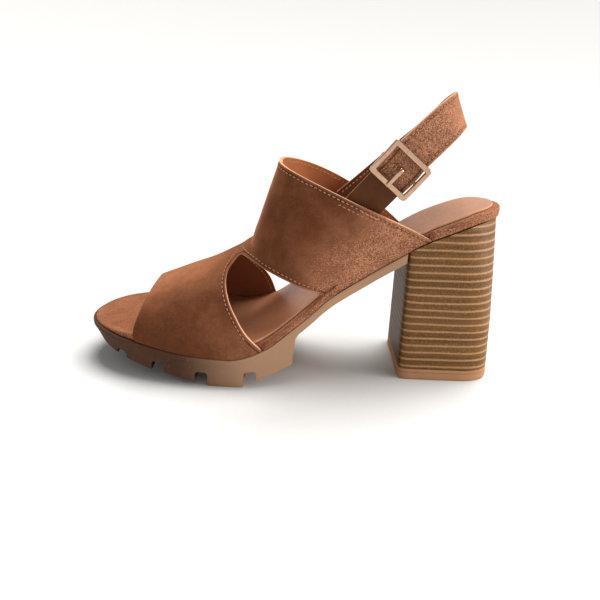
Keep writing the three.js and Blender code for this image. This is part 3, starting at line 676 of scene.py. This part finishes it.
# Footbed: suede wrapped over the board, low and slightly domed at the toe
bed = {
    "rim": 5, "toeShare": 0.24, "inset": 1.7, "round": 1.1, "dome": 1.0, "under": 3.1,
    "outerCover": [(0.145, 0.452), (0.621, 0.829)], "innerCover": [(0.145, 0.464), (0.619, 0.795)],
}


def rimTop(x):
    return soleTop(x) + sole["gap"] + bed["rim"] * mix(bed["toeShare"], 1, smooth(0.04, 0.2, shareAt(x)))


def bedInset(turn, side):
    along = turnShare(turn)
    inset = bed["inset"] * (1 - smooth(0.3, 0.5, along))
    for start, end in bed["outerCover"] if side < 0 else bed["innerCover"]:
        covered = smooth(start - 0.004, start + 0.004, along) * (1 - smooth(end - 0.004, end + 0.004, along))
        inset = mix(inset, bed["under"], covered)
    return inset


def makeFootbed():
    rounding = bed["round"]

    def top(x, across):
        along = shareAt(x)
        reach = min(1.0, (abs(2 * across - 1) ** 4 + max(0.0, 1 - 2 * along) ** 4) ** 0.25)
        return rimTop(x) + bed["dome"] * (1 - smooth(0.1, 0.26, along)) * (1 - reach ** 3)

    topInset = lambda turn, side: bedInset(turn, side) + rounding
    profile = [
        (-0.55 * rounding, lambda x: rimTop(x) - 0.16 * rounding),
        (-0.88 * rounding, lambda x: rimTop(x) - 0.5 * rounding),
        (-rounding, lambda x: mix(rimTop(x) - rounding, soleTop(x) + 0.5, 0.05)),
        (-rounding, lambda x: mix(rimTop(x) - rounding, soleTop(x) + 0.5, 0.5)),
        (-rounding + 0.1, lambda x: soleTop(x) + 0.75),
        (-rounding + 0.5, lambda x: soleTop(x) + 0.3),
    ]
    bm = makeDeck(320, 26, topInset, top, profile)
    makePiece(bm, "footbedSuede", [rimSuede], ["footbed"], 60)


makeFootbed()

# Insole: smooth skin with a pale cut edge, rounded off under the vamp
skin = {"inset": 4.2, "round": 0.25, "thickness": 1.2, "length": 184, "roundLength": 25.8, "lift": 5.78}


def makeInsole():
    front = skin["length"]
    fromTurn = turnAt(shareAt(-front))

    def pinch(x):
        share = clamp((x + front) / skin["roundLength"])
        return math.sqrt(max(0.0, 1 - (1 - share) ** 2))

    lift = skin["lift"] + skin["thickness"]
    profile = [
        (-0.18, lambda x: soleTop(x) + lift - 0.08), (-skin["round"], lambda x: soleTop(x) + lift - 0.28),
        (-skin["round"], lambda x: soleTop(x) + skin["lift"] - 0.1),
    ]
    bm = makeDeck(260, 16, skin["inset"] + skin["round"], lambda x, across: soleTop(x) + lift, profile, 1,
                  fromTurn, pinch)
    makePiece(bm, "insoleSkin", [insoleSkin, cutEdge], ["insole"], 60)


makeInsole()
print("footbed and insole made")

# Heel: round behind, square in front, flared to the floor
heel = {
    "bottomWidth": 55, "topWidth": 49, "flare": 3.5, "tuck": 1.2, "liftHeight": 6.5, "liftRound": 0.8,
    "groove": 0.35,
}


def heelPoint(angle, z, inset):
    down = 1 - z / sole["heelHeight"]
    half = mix(heel["topWidth"], heel["bottomWidth"], down) / 2 - inset
    rear = mix(-heel["tuck"], heel["flare"], down) - inset
    front = -sole["breast"] + inset
    middle = mix(-0.53, -0.42, down) * sole["breast"]
    cos, sin = math.cos(angle), math.sin(angle)
    square = mix(1.9, 3.4, min(down * 1.6, 1)) if cos > 0 else 13
    reach = rear - middle if cos > 0 else middle - front
    x = middle + reach * math.copysign(abs(cos) ** (2 / square), cos)
    return x, half * math.copysign(abs(sin) ** (2 / square), sin)


# Angles crowd at the corners, where the outline turns fast
def cornerAngle(share):
    angle = share * 2 * math.pi
    return angle - 0.42 * math.sin(4 * angle) / 4


# Column of rings; a ring is an inset and a height, which may follow the place along the shoe
def heelColumn(rings):
    def put(index, angle):
        inset, height = rings[index]
        z = height(-sole["breast"] / 2)
        for _ in range(3):
            x, y = heelPoint(angle, z, inset)
            z = height(x)
        return place(x, y, z)

    return sweepRings(160, len(rings), cornerAngle, put)


def makeHeel():
    low = heel["liftHeight"] + sole["gap"]
    rings = [(0.25, lambda x: low), (0.0, lambda x: low + 0.25)]
    for i in range(1, 25):
        rings.append((0.0, lambda x, share=i / 24: mix(low + 0.25, soleTop(x) - 0.05, share)))
    makePiece(heelColumn(rings), "stackedHeelBlock", [stackedHeel], ["heel_block"], 50)


def makeLift():
    rounding = heel["liftRound"]
    top = heel["liftHeight"]
    rings = [
        (rounding, 0), (rounding * 0.45, rounding * 0.14), (rounding * 0.12, rounding * 0.5),
        (0, rounding * 1.2), (0, top - 2.2), (heel["groove"], top - 2), (heel["groove"], top - 1.85),
        (0, top - 1.65), (0, top - 0.25), (0.2, top),
    ]
    rings = [(inset, lambda x, z=z: z) for inset, z in rings]
    makePiece(heelColumn(rings), "heelLift", [liftRubber], ["heel_toplift"], 50)


makeHeel()
makeLift()
print("heel made")

# Upper: one shell from the toe edge over the instep to the collar, cut open at both sides
upper = {
    "wall": 1.8, "margin": 0.9, "vampHeight": 45.5, "instepHeight": 72, "collarHeight": 119,
    "outerBow": 1.2, "innerBow": 6.4, "vampBow": 2.4, "edgeRound": 0.32,
}
# foot and crown places along the sole, instep and collar shares, fullness each side, squareness
upperTable = [
    (0.147, 0.147, 0.165, 0, 0, 0.86, 0.84, 2.5),
    (0.24, 0.24, 0.238, 0.28, 0, 0.94, 0.9, 2.5),
    (0.338, 0.338, 0.316, 0.58, 0, 0.95, 0.86, 2.4),
    (0.43, 0.43, 0.372, 0.85, 0, 0.93, 0.8, 2.4),
    (0.52, 0.52, 0.404, 1, 0.02, 0.84, 0.72, 2.5),
    (0.615, 0.61, 0.42, 1, 0.21, 0.77, 0.68, 2.7),
    (0.715, 0.7, 0.443, 1, 0.56, 0.735, 0.7, 3),
    (0.831, 0.797, 0.4726, 1, 1, 0.725, 0.71, 3.2),
]
# side openings: along the sole, height as a share of the collar's height
outerOpening = [
    (0.455, 0.1), (0.446, 0.19), (0.409, 0.26), (0.383, 0.336), (0.3675, 0.395), (0.358, 0.454),
    (0.3585, 0.5), (0.37, 0.54), (0.388, 0.572), (0.41, 0.568), (0.441, 0.546), (0.5, 0.5),
    (0.526, 0.4765), (0.562, 0.4496), (0.594, 0.423), (0.612, 0.405), (0.619, 0.38), (0.619, 0.1),
]
innerOpening = [
    (0.467, 0.1), (0.464, 0.24), (0.446, 0.332), (0.42, 0.4), (0.398, 0.455), (0.39, 0.5),
    (0.397, 0.535), (0.415, 0.553), (0.44, 0.54), (0.5, 0.496), (0.56, 0.453), (0.592, 0.425),
    (0.61, 0.405), (0.617, 0.38), (0.617, 0.1),
]
stations = [i / (len(upperTable) - 1) for i in range(len(upperTable))]
upperColumns = [column(stations, [row[i] for row in upperTable]) for i in range(8)]


# Half a cross section, from the foot to the crown, with its running length
def halfSection(u, side):
    row = [at(u) for at in upperColumns]
    outerFoot, innerFoot, crownAt, instep, collar, outerFull, innerFull, square = row
    crownX = alongX(crownAt)
    crownZ = (upper["vampHeight"] + instep * (upper["instepHeight"] - upper["vampHeight"])
              + collar * (upper["collarHeight"] - upper["instepHeight"]))
    footX = alongX(outerFoot if side < 0 else innerFoot)
    footY = halfWidth(footX, side) - side * upper["margin"]
    footZ = soleTop(footX) + sole["gap"]
    full = side * sole["ballWidth"] / 2 * (outerFull if side < 0 else innerFull)
    bow = (upper["outerBow"] if side < 0 else upper["innerBow"]) * collar
    lead = upper["vampBow"] * (1 - smooth(0, 0.3, u))
    points = []
    for i in range(61):
        angle = math.pi / 2 * i / 60
        h = math.sin(angle) ** (2 / square)
        y = mix(footY, full, smooth(0.02, 0.5, h)) * max(math.cos(angle), 0) ** (2 / square)
        x = mix(footX, crownX, h) - lead * math.sin(math.pi * h ** 0.5)
        points.append(Vector((x, y, mix(footZ, crownZ, h) + bow * 4 * h * (1 - h))))
    points[-1].y = 0
    return points, runLengths(points)


knownSections = {}


# u runs from the toe edge to the collar, v from the outer foot (-1) over the crown to the inner foot
def upperPoint(u, v):
    key = (round(clamp(u), 6), v < 0)
    if key not in knownSections:
        knownSections[key] = halfSection(key[0], -1 if v < 0 else 1)
    points, lengths = knownSections[key]
    at, share = spotAt(lengths, (1 - min(abs(v), 1)) * lengths[-1])
    return points[at].lerp(points[at + 1], share)


def upperNormal(u, v):
    alongU = upperPoint(min(u + 0.005, 1), v) - upperPoint(max(u - 0.005, 0), v)
    alongV = upperPoint(u, min(v + 0.012, 1)) - upperPoint(u, max(v - 0.012, -1))
    return alongU.cross(alongV).normalized()


# Soft creases and flats, in the shoe's frame: centre, direction, length, width, depth
creases = [
    {"at": (-136, -24, 60), "along": (0.5, 0.25, 0.8), "length": 26, "width": 5.5, "depth": 0.55},
    {"at": (-148, -30, 50), "along": (0.3, -0.4, 0.85), "length": 22, "width": 6, "depth": 0.4},
    {"at": (-124, 4, 76), "along": (0.2, 1, 0.1), "length": 34, "width": 5, "depth": 0.5},
    {"at": (-100, -31, 78), "along": (0.7, 0, 0.7), "length": 40, "width": 12, "depth": 0.5},
    {"at": (-176, -34, 38), "along": (0.9, 0.1, -0.2), "length": 34, "width": 9, "depth": 0.35},
]


def creaseDepth(point):
    depth = 0.0
    for crease in creases:
        away, heading = point - Vector(crease["at"]), Vector(crease["along"]).normalized()
        along = away.dot(heading)
        across = (away - heading * along).length / crease["width"]
        trough = math.exp(-across ** 2) - 0.45 * math.exp(-(across / 1.9) ** 2)
        depth += crease["depth"] * math.exp(-(along / (crease["length"] / 2)) ** 2) * trough
    return depth


def openingOutline(table, room=0.0):
    rows = [Vector((alongX(share), up * upper["collarHeight"])) for share, up in table]
    inside = rows[1:-1]
    points = [rows[0]]
    for i in range(len(inside) - 1):
        before, start = inside[max(i - 1, 0)], inside[i]
        end, after = inside[i + 1], inside[min(i + 2, len(inside) - 1)]
        for step in range(6):
            t = step / 6
            points.append(0.5 * (
                (2 * start) + (end - before) * t + (2 * before - 5 * start + 4 * end - after) * t * t
                + (3 * start - before - 3 * end + after) * t ** 3))
    points += [inside[-1], rows[-1]]
    if room:
        moved = []
        for i, point in enumerate(points):
            tangent = (points[min(i + 1, len(points) - 1)] - points[max(i - 1, 0)]).normalized()
            moved.append(point + Vector((-tangent.y, tangent.x)) * room)
        points = moved
    return points


def creasedPoint(u, v):
    point, normal = upperPoint(u, v), upperNormal(u, v)
    edges = smooth(0, 0.06, u) * smooth(0, 0.05, 1 - u) * smooth(0, 0.06, 1 - abs(v))
    return point - normal * creaseDepth(point) * edges, normal


# The outer face as a grid, before its wall and openings
def upperSheet(rows, columns):
    bm = bmesh.new()
    bmesh.ops.create_grid(bm, x_segments=rows, y_segments=columns, size=1)
    for vert in bm.verts:
        u, v = (vert.co.x + 1) / 2, vert.co.y
        vert.co = place(*creasedPoint(u, v)[0])
    return bm


def makeUpper():
    bm = upperSheet(230, 170)
    piece = makePiece(bm, "upperSuede", [suede, lining, cutEdge], ["upper"])
    addWall(piece, upper["wall"], -1)
    applyModifiers(piece)
    wide = sole["ballWidth"]
    cutters = []
    for name, table, fromY, toY in (("outerCut", outerOpening, -wide, -wide * 0.12),
                                    ("innerCut", innerOpening, wide * 0.12, wide)):
        blocks = bmesh.new()
        addPrism(blocks, [tuple(point) for point in openingOutline(table)], fromY, toY, 2)
        cutters.append(makeCutter(blocks, name, [suede, lining, cutEdge]))
    cutWith(piece, cutters)
    soften(piece, upper["edgeRound"], 55)
    finishPiece(piece, (), 50)
    return piece


upperPiece = makeUpper()
print("upper made")

# Stitch rows: a row is a list of points with normals; its stitches lie end to end with small gaps
stitch = {"pitch": 2.6, "length": 1.95, "width": 0.62, "height": 0.5, "inset": 1.95, "second": 4.6}


def walkIn(edgeU, v, distance):
    step = 0.002 if edgeU < 0.5 else -0.002
    u, walked, last = edgeU, 0.0, upperPoint(edgeU, v)
    while walked < distance:
        u += step
        here = upperPoint(u, v)
        walked += (here - last).length
        last = here
    return u


def sheetRow(edgeU, distance, fromV, toV, count=240):
    row = []
    for i in range(count + 1):
        v = mix(fromV, toV, i / count)
        point, normal = creasedPoint(walkIn(edgeU, v, distance), v)
        row.append((point, normal if normal.z > 0 or abs(v) > 0.7 else -normal))
    return row


sheet = upperSheet(150, 120)
sheet.normal_update()
sheetTree = BVHTree.FromBMesh(sheet)
sheet.free()


# Points of the side view put on the outer face
def sideRow(outline, side, lowest):
    row = []
    for x, z in outline:
        if z < soleTop(x) + lowest:
            continue
        hit, normal = sheetTree.ray_cast(place(x, side * 90, z), Vector((0, -side, 0)))[:2]
        if hit is not None:
            row.append((unplace(hit), normal if normal.y * side > 0 else -normal))
    return row


def addStitches(bm, row, lift=0.0, slotIndex=0):
    lengths = runLengths([point for point, normal in row])
    count = int(lengths[-1] / stitch["pitch"])
    for i in range(count):
        at, share = spotAt(lengths, (i + 0.5) * lengths[-1] / count)
        middle = row[at][0].lerp(row[at + 1][0], share)
        tangent = (row[min(at + 2, len(row) - 1)][0] - row[max(at - 1, 0)][0]).normalized()
        normal = row[at][1].lerp(row[at + 1][1], share)
        normal = (normal - tangent * normal.dot(tangent)).normalized()
        side = normal.cross(tangent)
        turn = Matrix((side * stitch["width"] / 2000, normal * stitch["height"] / 2000,
                       tangent * stitch["length"] / 2000)).transposed().to_4x4()
        spot = place(*(middle + normal * lift))
        made = bmesh.ops.create_uvsphere(bm, u_segments=8, v_segments=6, radius=1,
                                         matrix=Matrix.Translation(spot) @ turn)["verts"]
        for vert in made:
            for face in vert.link_faces:
                face.material_index = slotIndex


def makeUpperStitches():
    bm = bmesh.new()
    inset = stitch["inset"]
    rows = [sheetRow(1, inset, -0.985, 0.985), sheetRow(1, stitch["second"], -0.9, -0.5, 80)]
    for table, side in ((outerOpening, -1), (innerOpening, 1)):
        rows.append(sideRow(openingOutline(table, inset), side, 8))
    for row in rows:
        addStitches(bm, row, 0.05)
    for row in (rows[0], rows[2], rows[3]):
        addStitches(bm, [(point - normal * upper["wall"], -normal) for point, normal in row], 0.05, 1)
    bmesh.ops.recalc_face_normals(bm, faces=bm.faces)
    makePiece(bm, "upperStitches", [thread, cutEdge])


# Marks how near each point of the upper is to a cut edge
def markUpperEdges():
    edges = [upperPoint(1, mix(-1, 1, i / 400)) for i in range(401)]
    for table, side in ((outerOpening, -1), (innerOpening, 1)):
        row = [point for point, normal in sideRow(openingOutline(table), side, 0)]
        for before, after in zip(row, row[1:]):
            steps = max(1, int((after - before).length / 0.5))
            edges += [before.lerp(after, i / steps) for i in range(steps)]
    tree = KDTree(len(edges))
    for i, point in enumerate(edges):
        tree.insert(place(*point), i)
    tree.balance()
    mesh = upperPiece.data
    near = mesh.attributes.new("nearEdge", "FLOAT", "POINT")
    for vert in mesh.vertices:
        near.data[vert.index].value = clamp(1 - tree.find(vert.co)[2] * 1000 / 6)


markUpperEdges()
makeUpperStitches()
print("upper stitched")

# Buckle: a runs along the strap, c across it and n outwards, about the middle of its pin
buckle = {
    "along": 20.6, "across": 24.6, "barWidth": 2.8, "barDepth": 2.8, "barRound": 0.5, "arch": 0.6,
    "corner": 1.8, "windowCorner": 0.4, "edgeDrop": 0.25, "pinRadius": 0.9, "pinSetback": 61.4,
    "pinHeight": 120.4, "angle": 50.2, "loopWall": 1.0,
    "prongWidth": 2.6, "prongThickness": 1.5,
}
strap = {
    "width": 19.2, "thickness": 2.0, "lift": 27.8, "lean": 0.4, "tabThickness": 1.6, "tabLength": 38,
    "tabLean": 4, "edgeRound": 0.35,
}
# forward of the seat's rear, outwards and up, as shares of the pin's place and the strap's rise
slingTable = [
    (0.775, -0.946, 0.911), (0.5945, -0.625, 0.9716), (0.4528, 0, 1), (0.4707, 0.464, 0.974),
    (0.5526, 0.821, 0.917), (0.8727, 0.915, 0.793), (1.2215, 0.785, 0.665), (1.3682, 0.745, 0.612),
]
pinOut = sole["ballWidth"] / 2 * 0.651
strapRise = buckle["pinHeight"] + strap["lift"]
tilt = math.radians(buckle["angle"])
alongAxis = Vector((math.cos(tilt), 0, math.sin(tilt)))
acrossAxis = Vector((-math.sin(tilt), 0, math.cos(tilt)))
pinPlace = Vector((-buckle["pinSetback"], 0, buckle["pinHeight"]))
gap = sole["gap"]
loopRadius = buckle["pinRadius"] + gap
loopOuter = loopRadius + buckle["loopWall"]
frameFloor = pinOut + strap["tabThickness"] / 2 + strap["thickness"] + gap * 1.67


def atBuckle(a, c, n):
    return pinPlace + alongAxis * a + acrossAxis * c + Vector((0, -1, 0)) * n


# Centripetal curve through points, as evenly spaced samples
def smoothCurve(points, count):
    ends = [points[0] * 2 - points[1]] + list(points) + [points[-1] * 2 - points[-2]]
    fine = []
    for i in range(1, len(ends) - 2):
        p0, p1, p2, p3 = ends[i - 1], ends[i], ends[i + 1], ends[i + 2]
        t0 = math.sqrt((p1 - p0).length)
        t1 = math.sqrt((p2 - p1).length)
        t2 = math.sqrt((p3 - p2).length)
        m1 = ((p1 - p0) / t0 - (p2 - p0) / (t0 + t1) + (p2 - p1) / t1) * t1
        m2 = ((p2 - p1) / t1 - (p3 - p1) / (t1 + t2) + (p3 - p2) / t2) * t1
        for step in range(40):
            t = step / 40
            fine.append((2 * t ** 3 - 3 * t ** 2 + 1) * p1 + (t ** 3 - 2 * t ** 2 + t) * m1
                        + (-2 * t ** 3 + 3 * t ** 2) * p2 + (t ** 3 - t ** 2) * m2)
    fine.append(points[-1].copy())
    lengths = runLengths(fine)
    spots = [spotAt(lengths, lengths[-1] * i / (count - 1)) for i in range(count)]
    return [fine[at].lerp(fine[at + 1], share) for at, share in spots], lengths[-1]


# Places along a strap: middle, across and outward directions for each sample
def slingFrames(count):
    under = frameFloor - gap - strap["thickness"] / 2
    over = pinOut + loopOuter + gap + strap["thickness"] / 2
    end = buckle["along"] / 2 - 0.5
    bar = buckle["barWidth"]
    points = [
        atBuckle(-end, 0, under - 0.2), atBuckle(-end + bar, 0, under - 0.1), atBuckle(-3, 0, over - 0.3),
        atBuckle(0, 0, over), atBuckle(3, 0, over - 0.3), atBuckle(end - bar, 0, under - 0.1),
        atBuckle(end + 1, 0, under - 0.3),
    ]
    points += [Vector((-buckle["pinSetback"] * back, pinOut * out, strapRise * up))
               for back, out, up in slingTable]
    samples, length = smoothCurve(points, count)
    lean = Vector((-math.sin(strap["lean"]), 0, math.cos(strap["lean"])))
    frames = []
    for i, point in enumerate(samples):
        tangent = (samples[min(i + 1, count - 1)] - samples[max(i - 1, 0)]).normalized()
        upward = acrossAxis.lerp(lean, smooth(0.15, 0.42, i / (count - 1)))
        across = (upward - tangent * upward.dot(tangent)).normalized()
        frames.append((point, across, across.cross(tangent)))
    return frames, length


# Flat strap from its frames: faces, and a pale cut edge all round
def makeStrap(name, frames, width, thickness, materials, replaced):
    bm = bmesh.new()
    columns = 14
    bmesh.ops.create_grid(bm, x_segments=len(frames) - 1, y_segments=columns, size=1)
    near = bm.verts.layers.float.new("nearEdge")
    for vert in bm.verts:
        vert[near] = clamp(1 - (1 - abs(vert.co.y)) * width / 12)
        middle, across, out = frames[round((vert.co.x + 1) / 2 * (len(frames) - 1))]
        edge = abs(vert.co.y) ** 6
        vert.co = place(*(middle + across * vert.co.y * width / 2 - out * thickness * 0.16 * edge))
    piece = makePiece(bm, name, materials, replaced)
    addWall(piece, thickness * 0.92, 0)
    soften(piece, strap["edgeRound"], 50)
    finishPiece(piece, (), 50)


slingFrame, slingLength = slingFrames(360)
makeStrap("slingStrapSuede", slingFrame, strap["width"], strap["thickness"],
          [strapSuede, tabSkin, cutEdge], ["sling_strap"])


def makeStrapStitches():
    bm = bmesh.new()
    count = len(slingFrame)
    reach = strap["width"] / 2 - stitch["inset"]
    face = strap["thickness"] * 0.46
    clear = (buckle["along"] + 2) / slingLength
    for side in (-1, 1):
        for outward in (-1, 1):
            row = []
            for i in range(int(clear * count), count - 4):
                middle, across, out = slingFrame[i]
                row.append((middle + across * reach * side + out * face * outward, out * outward))
            addStitches(bm, row, 0.02)
    bmesh.ops.recalc_face_normals(bm, faces=bm.faces)
    makePiece(bm, "strapStitches", [thread])


makeStrapStitches()


# Folded tab from inside the collar, round the pin and back
def makeTab():
    low = pinOut - strap["tabLean"]
    top = pinOut - gap * 0.67
    frames = []
    for i in range(60):
        share = i / 59
        point = atBuckle(mix(-strap["tabLength"], -loopRadius, share), 0, mix(low, top, share))
        frames.append((point, acrossAxis, Vector((0, -1, 0))))
    for i in range(1, 31):
        turn = math.radians(mix(200, -110, i / 30))
        radius = (loopRadius + loopOuter) / 2
        outward = alongAxis * math.cos(turn) + Vector((0, -1, 0)) * math.sin(turn)
        point = atBuckle(radius * math.cos(turn), 0, pinOut + radius * math.sin(turn))
        frames.append((point, acrossAxis, outward))
    makeStrap("buckleTab", frames, strap["width"] - 0.4, strap["tabThickness"] * 0.62,
              [tabSkin, tabSkin, cutEdge], ["buckle_tab"])


makeTab()
print("strap and tab made")


# Corners of a rounded rectangle joined by straight runs, as evenly counted points
def roundedRun(halfA, halfC, corner, cornerSteps, straightSteps):
    arcs = []
    for turn, signA, signC in ((0, 1, 1), (1, -1, 1), (2, -1, -1), (3, 1, -1)):
        angles = [math.pi / 2 * (turn + i / cornerSteps) for i in range(cornerSteps + 1)]
        arcs.append([Vector((signA * (halfA - corner) + corner * math.cos(angle),
                             signC * (halfC - corner) + corner * math.sin(angle))) for angle in angles])
    points = []
    for i, arc in enumerate(arcs):
        points += arc
        after = arcs[(i + 1) % 4][0]
        points += [arc[-1].lerp(after, step / straightSteps) for step in range(1, straightSteps)]
    return points


# Square frame with slightly arched bars: a rounded section led round the window
def makeFrame():
    halfAlong, halfAcross = buckle["along"] / 2, buckle["across"] / 2
    windowAlong = halfAlong - buckle["barWidth"]
    outer = roundedRun(halfAlong, halfAcross, buckle["corner"], 6, 10)
    inner = roundedRun(windowAlong, strap["width"] / 2 + gap, buckle["windowCorner"], 6, 10)
    depth = buckle["barDepth"]
    bm = bmesh.new()
    bmesh.ops.create_grid(bm, x_segments=len(outer), y_segments=24, size=1)
    for vert in bm.verts:
        at = round((vert.co.x + 1) / 2 * len(outer)) % len(outer)
        around = round((vert.co.y + 1) / 2 * 24) % 24
        width = (outer[at] - inner[at]).length
        spot = roundedRun(width / 2, depth / 2, buckle["barRound"], 4, 2)[around]
        a, c = inner[at].lerp(outer[at], spot.x / width + 0.5)
        n = spot.y + depth / 2
        arch = buckle["arch"] * (1 - (a / halfAlong) ** 2)
        drop = buckle["edgeDrop"] * n / depth * smooth(windowAlong - 1, windowAlong + 0.3, abs(a))
        vert.co = place(*atBuckle(a, c, frameFloor + n + arch - drop))
    bmesh.ops.remove_doubles(bm, verts=bm.verts, dist=2e-6)
    bmesh.ops.recalc_face_normals(bm, faces=bm.faces)
    makePiece(bm, "buckleFrameGold", [gold], ["buckle_frame"], 40)


makeFrame()


# Prong: a ring round the pin, up through the strap and down to the frame's near bar
def makeProng():
    top = frameFloor + buckle["barDepth"] + gap
    t = buckle["prongThickness"]
    tip = -buckle["along"] / 2 - gap
    path = [
        (0.5, pinOut - 0.4), (1.2, pinOut + 0.7), (1.25, top - 1.2), (0.7, top + t * 0.35),
        (-0.9, top + t * 0.62), (-3.2, top + t * 0.6), (-6.5, top + t * 0.56), (tip + 1.6, top + t * 0.52),
        (tip + 0.35, top + t * 0.4),
    ]
    samples = smoothCurve([atBuckle(a, 0, n) for a, n in path], 48)[0]
    final = len(samples) - 1

    def put(index, angle):
        share = index / final
        tangent = (samples[min(index + 1, final)] - samples[max(index - 1, 0)]).normalized()
        away = acrossAxis.cross(tangent).normalized()
        closing = smooth(0, 0.03, share) * smooth(0, 0.04, 1 - share)
        wide = buckle["prongWidth"] / 2 * mix(0.25, mix(1, 0.72, share), closing)
        deep = t / 2 * mix(0.25, mix(1, 0.7, share), closing)
        cos, sin = math.cos(angle), math.sin(angle)
        return place(*(samples[index] + acrossAxis * wide * math.copysign(abs(cos) ** 0.75, cos)
                       + away * deep * math.copysign(abs(sin) ** 0.75, sin)))

    bm = sweepRings(20, len(samples), lambda share: 2 * math.pi * share, put)
    makePiece(bm, "buckleProngGold", [gold], ["buckle_prong"], 50)


makeProng()
print("buckle made")

# Camera at the photo's place and angle, in the shoe's frame
eye = {
    "at": (-106.06, -333.6, 168.0), "yaw": -0.0106752, "pitch": 0.37652, "roll": 0.0337674,
    "focal": 595.7545,
}


def makeCamera():
    data = bpy.data.cameras.new("photoCamera")
    camera = addObject("photoCamera", data)
    data.sensor_width = 36
    data.lens = 36 * eye["focal"] / 600
    data.clip_start = 0.01
    data.clip_end = 50
    yaw, pitch, roll = eye["yaw"], eye["pitch"], eye["roll"]
    forward = Vector((math.sin(yaw) * math.cos(pitch), math.cos(yaw) * math.cos(pitch), -math.sin(pitch)))
    level = Vector((math.cos(yaw), -math.sin(yaw), 0))
    upward = level.cross(forward)
    right = level * math.cos(roll) + upward * math.sin(roll)
    top = upward * math.cos(roll) - level * math.sin(roll)
    turn = Matrix((right, top, -forward)).transposed().to_4x4()
    camera.matrix_world = Matrix.Translation(place(*eye["at"])) @ turn
    bpy.context.scene.camera = camera


makeCamera()

# Pale floor that turns up far away on all sides, a wide soft sky and soft lights
studio = {
    "floorSize": 20.0, "riseFrom": 2.5, "rise": 0.05,
    "background": (0.97, 0.98, 1.0, 1.0), "backgroundStrength": 0.33,
    "lights": [
        {"name": "softSun", "kind": "SUN", "at": (0.22, 0.3, 1.0), "to": (0, 0, 0), "power": 4.5,
         "tone": (1.0, 0.985, 0.96), "settings": {"angle": math.radians(42)}},
        {"name": "keyLight", "kind": "AREA", "at": (0.5, -0.24, 0.26), "to": (0, 0, 0.06), "power": 0.6,
         "tone": (1.0, 0.98, 0.95), "settings": {"shape": "DISK", "size": 0.3}},
        {"name": "rearLight", "kind": "AREA", "at": (0.5, -0.07, 0.2), "to": (0, 0, 0.06), "power": 0.85,
         "tone": (1.0, 0.96, 0.92), "settings": {"shape": "DISK", "size": 0.3}},
        {"name": "heelLight", "kind": "SPOT", "at": (0.5, -0.05, 0.1), "to": (0.1, 0, 0.03), "power": 9.0,
         "tone": (1.0, 0.96, 0.92),
         "settings": {"shadow_soft_size": 0.08, "spot_size": math.radians(20), "spot_blend": 1.0}},
    ],
}


def makeStudio():
    m = Recipe("paleFloor", **{"Roughness": 0.9, "Specular IOR Level": 0.2})
    cloud = m.spread(m.noise(400), 0.3, 0.7)
    m.join(m.tint(cloud, (0.61, 0.61, 0.605, 1), (0.62, 0.62, 0.615, 1)), "Base Color")
    bm = bmesh.new()
    bmesh.ops.create_grid(bm, x_segments=48, y_segments=48, size=studio["floorSize"] / 2)
    for vert in bm.verts:
        beyond = max(0.0, vert.co.xy.length - studio["riseFrom"])
        vert.co.z = studio["rise"] * beyond ** 2
    floor = meshObject(bm, "studioFloor", [m.material])
    floor.data.shade_smooth()
    world = bpy.data.worlds.new("studioWorld")
    world.use_nodes = True
    sky = world.node_tree.nodes["Background"].inputs
    sky["Color"].default_value = studio["background"]
    sky["Strength"].default_value = studio["backgroundStrength"]
    bpy.context.scene.world = world
    for spec in studio["lights"]:
        data = bpy.data.lights.new(spec["name"], spec["kind"])
        data.energy = spec["power"]
        data.color = spec["tone"]
        for key, value in spec["settings"].items():
            setattr(data, key, value)
        light = addObject(spec["name"], data)
        light.location = spec["at"]
        light.rotation_euler = (Vector(spec["to"]) - light.location).to_track_quat("-Z", "Y").to_euler()


makeStudio()
bpy.context.scene.view_settings.view_transform = "Standard"
print("camera and studio made")

# The hidden centre bar keeps its CAD shape
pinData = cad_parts["buckle_bar"].data
pinData.materials.clear()
pinData.materials.append(gold)
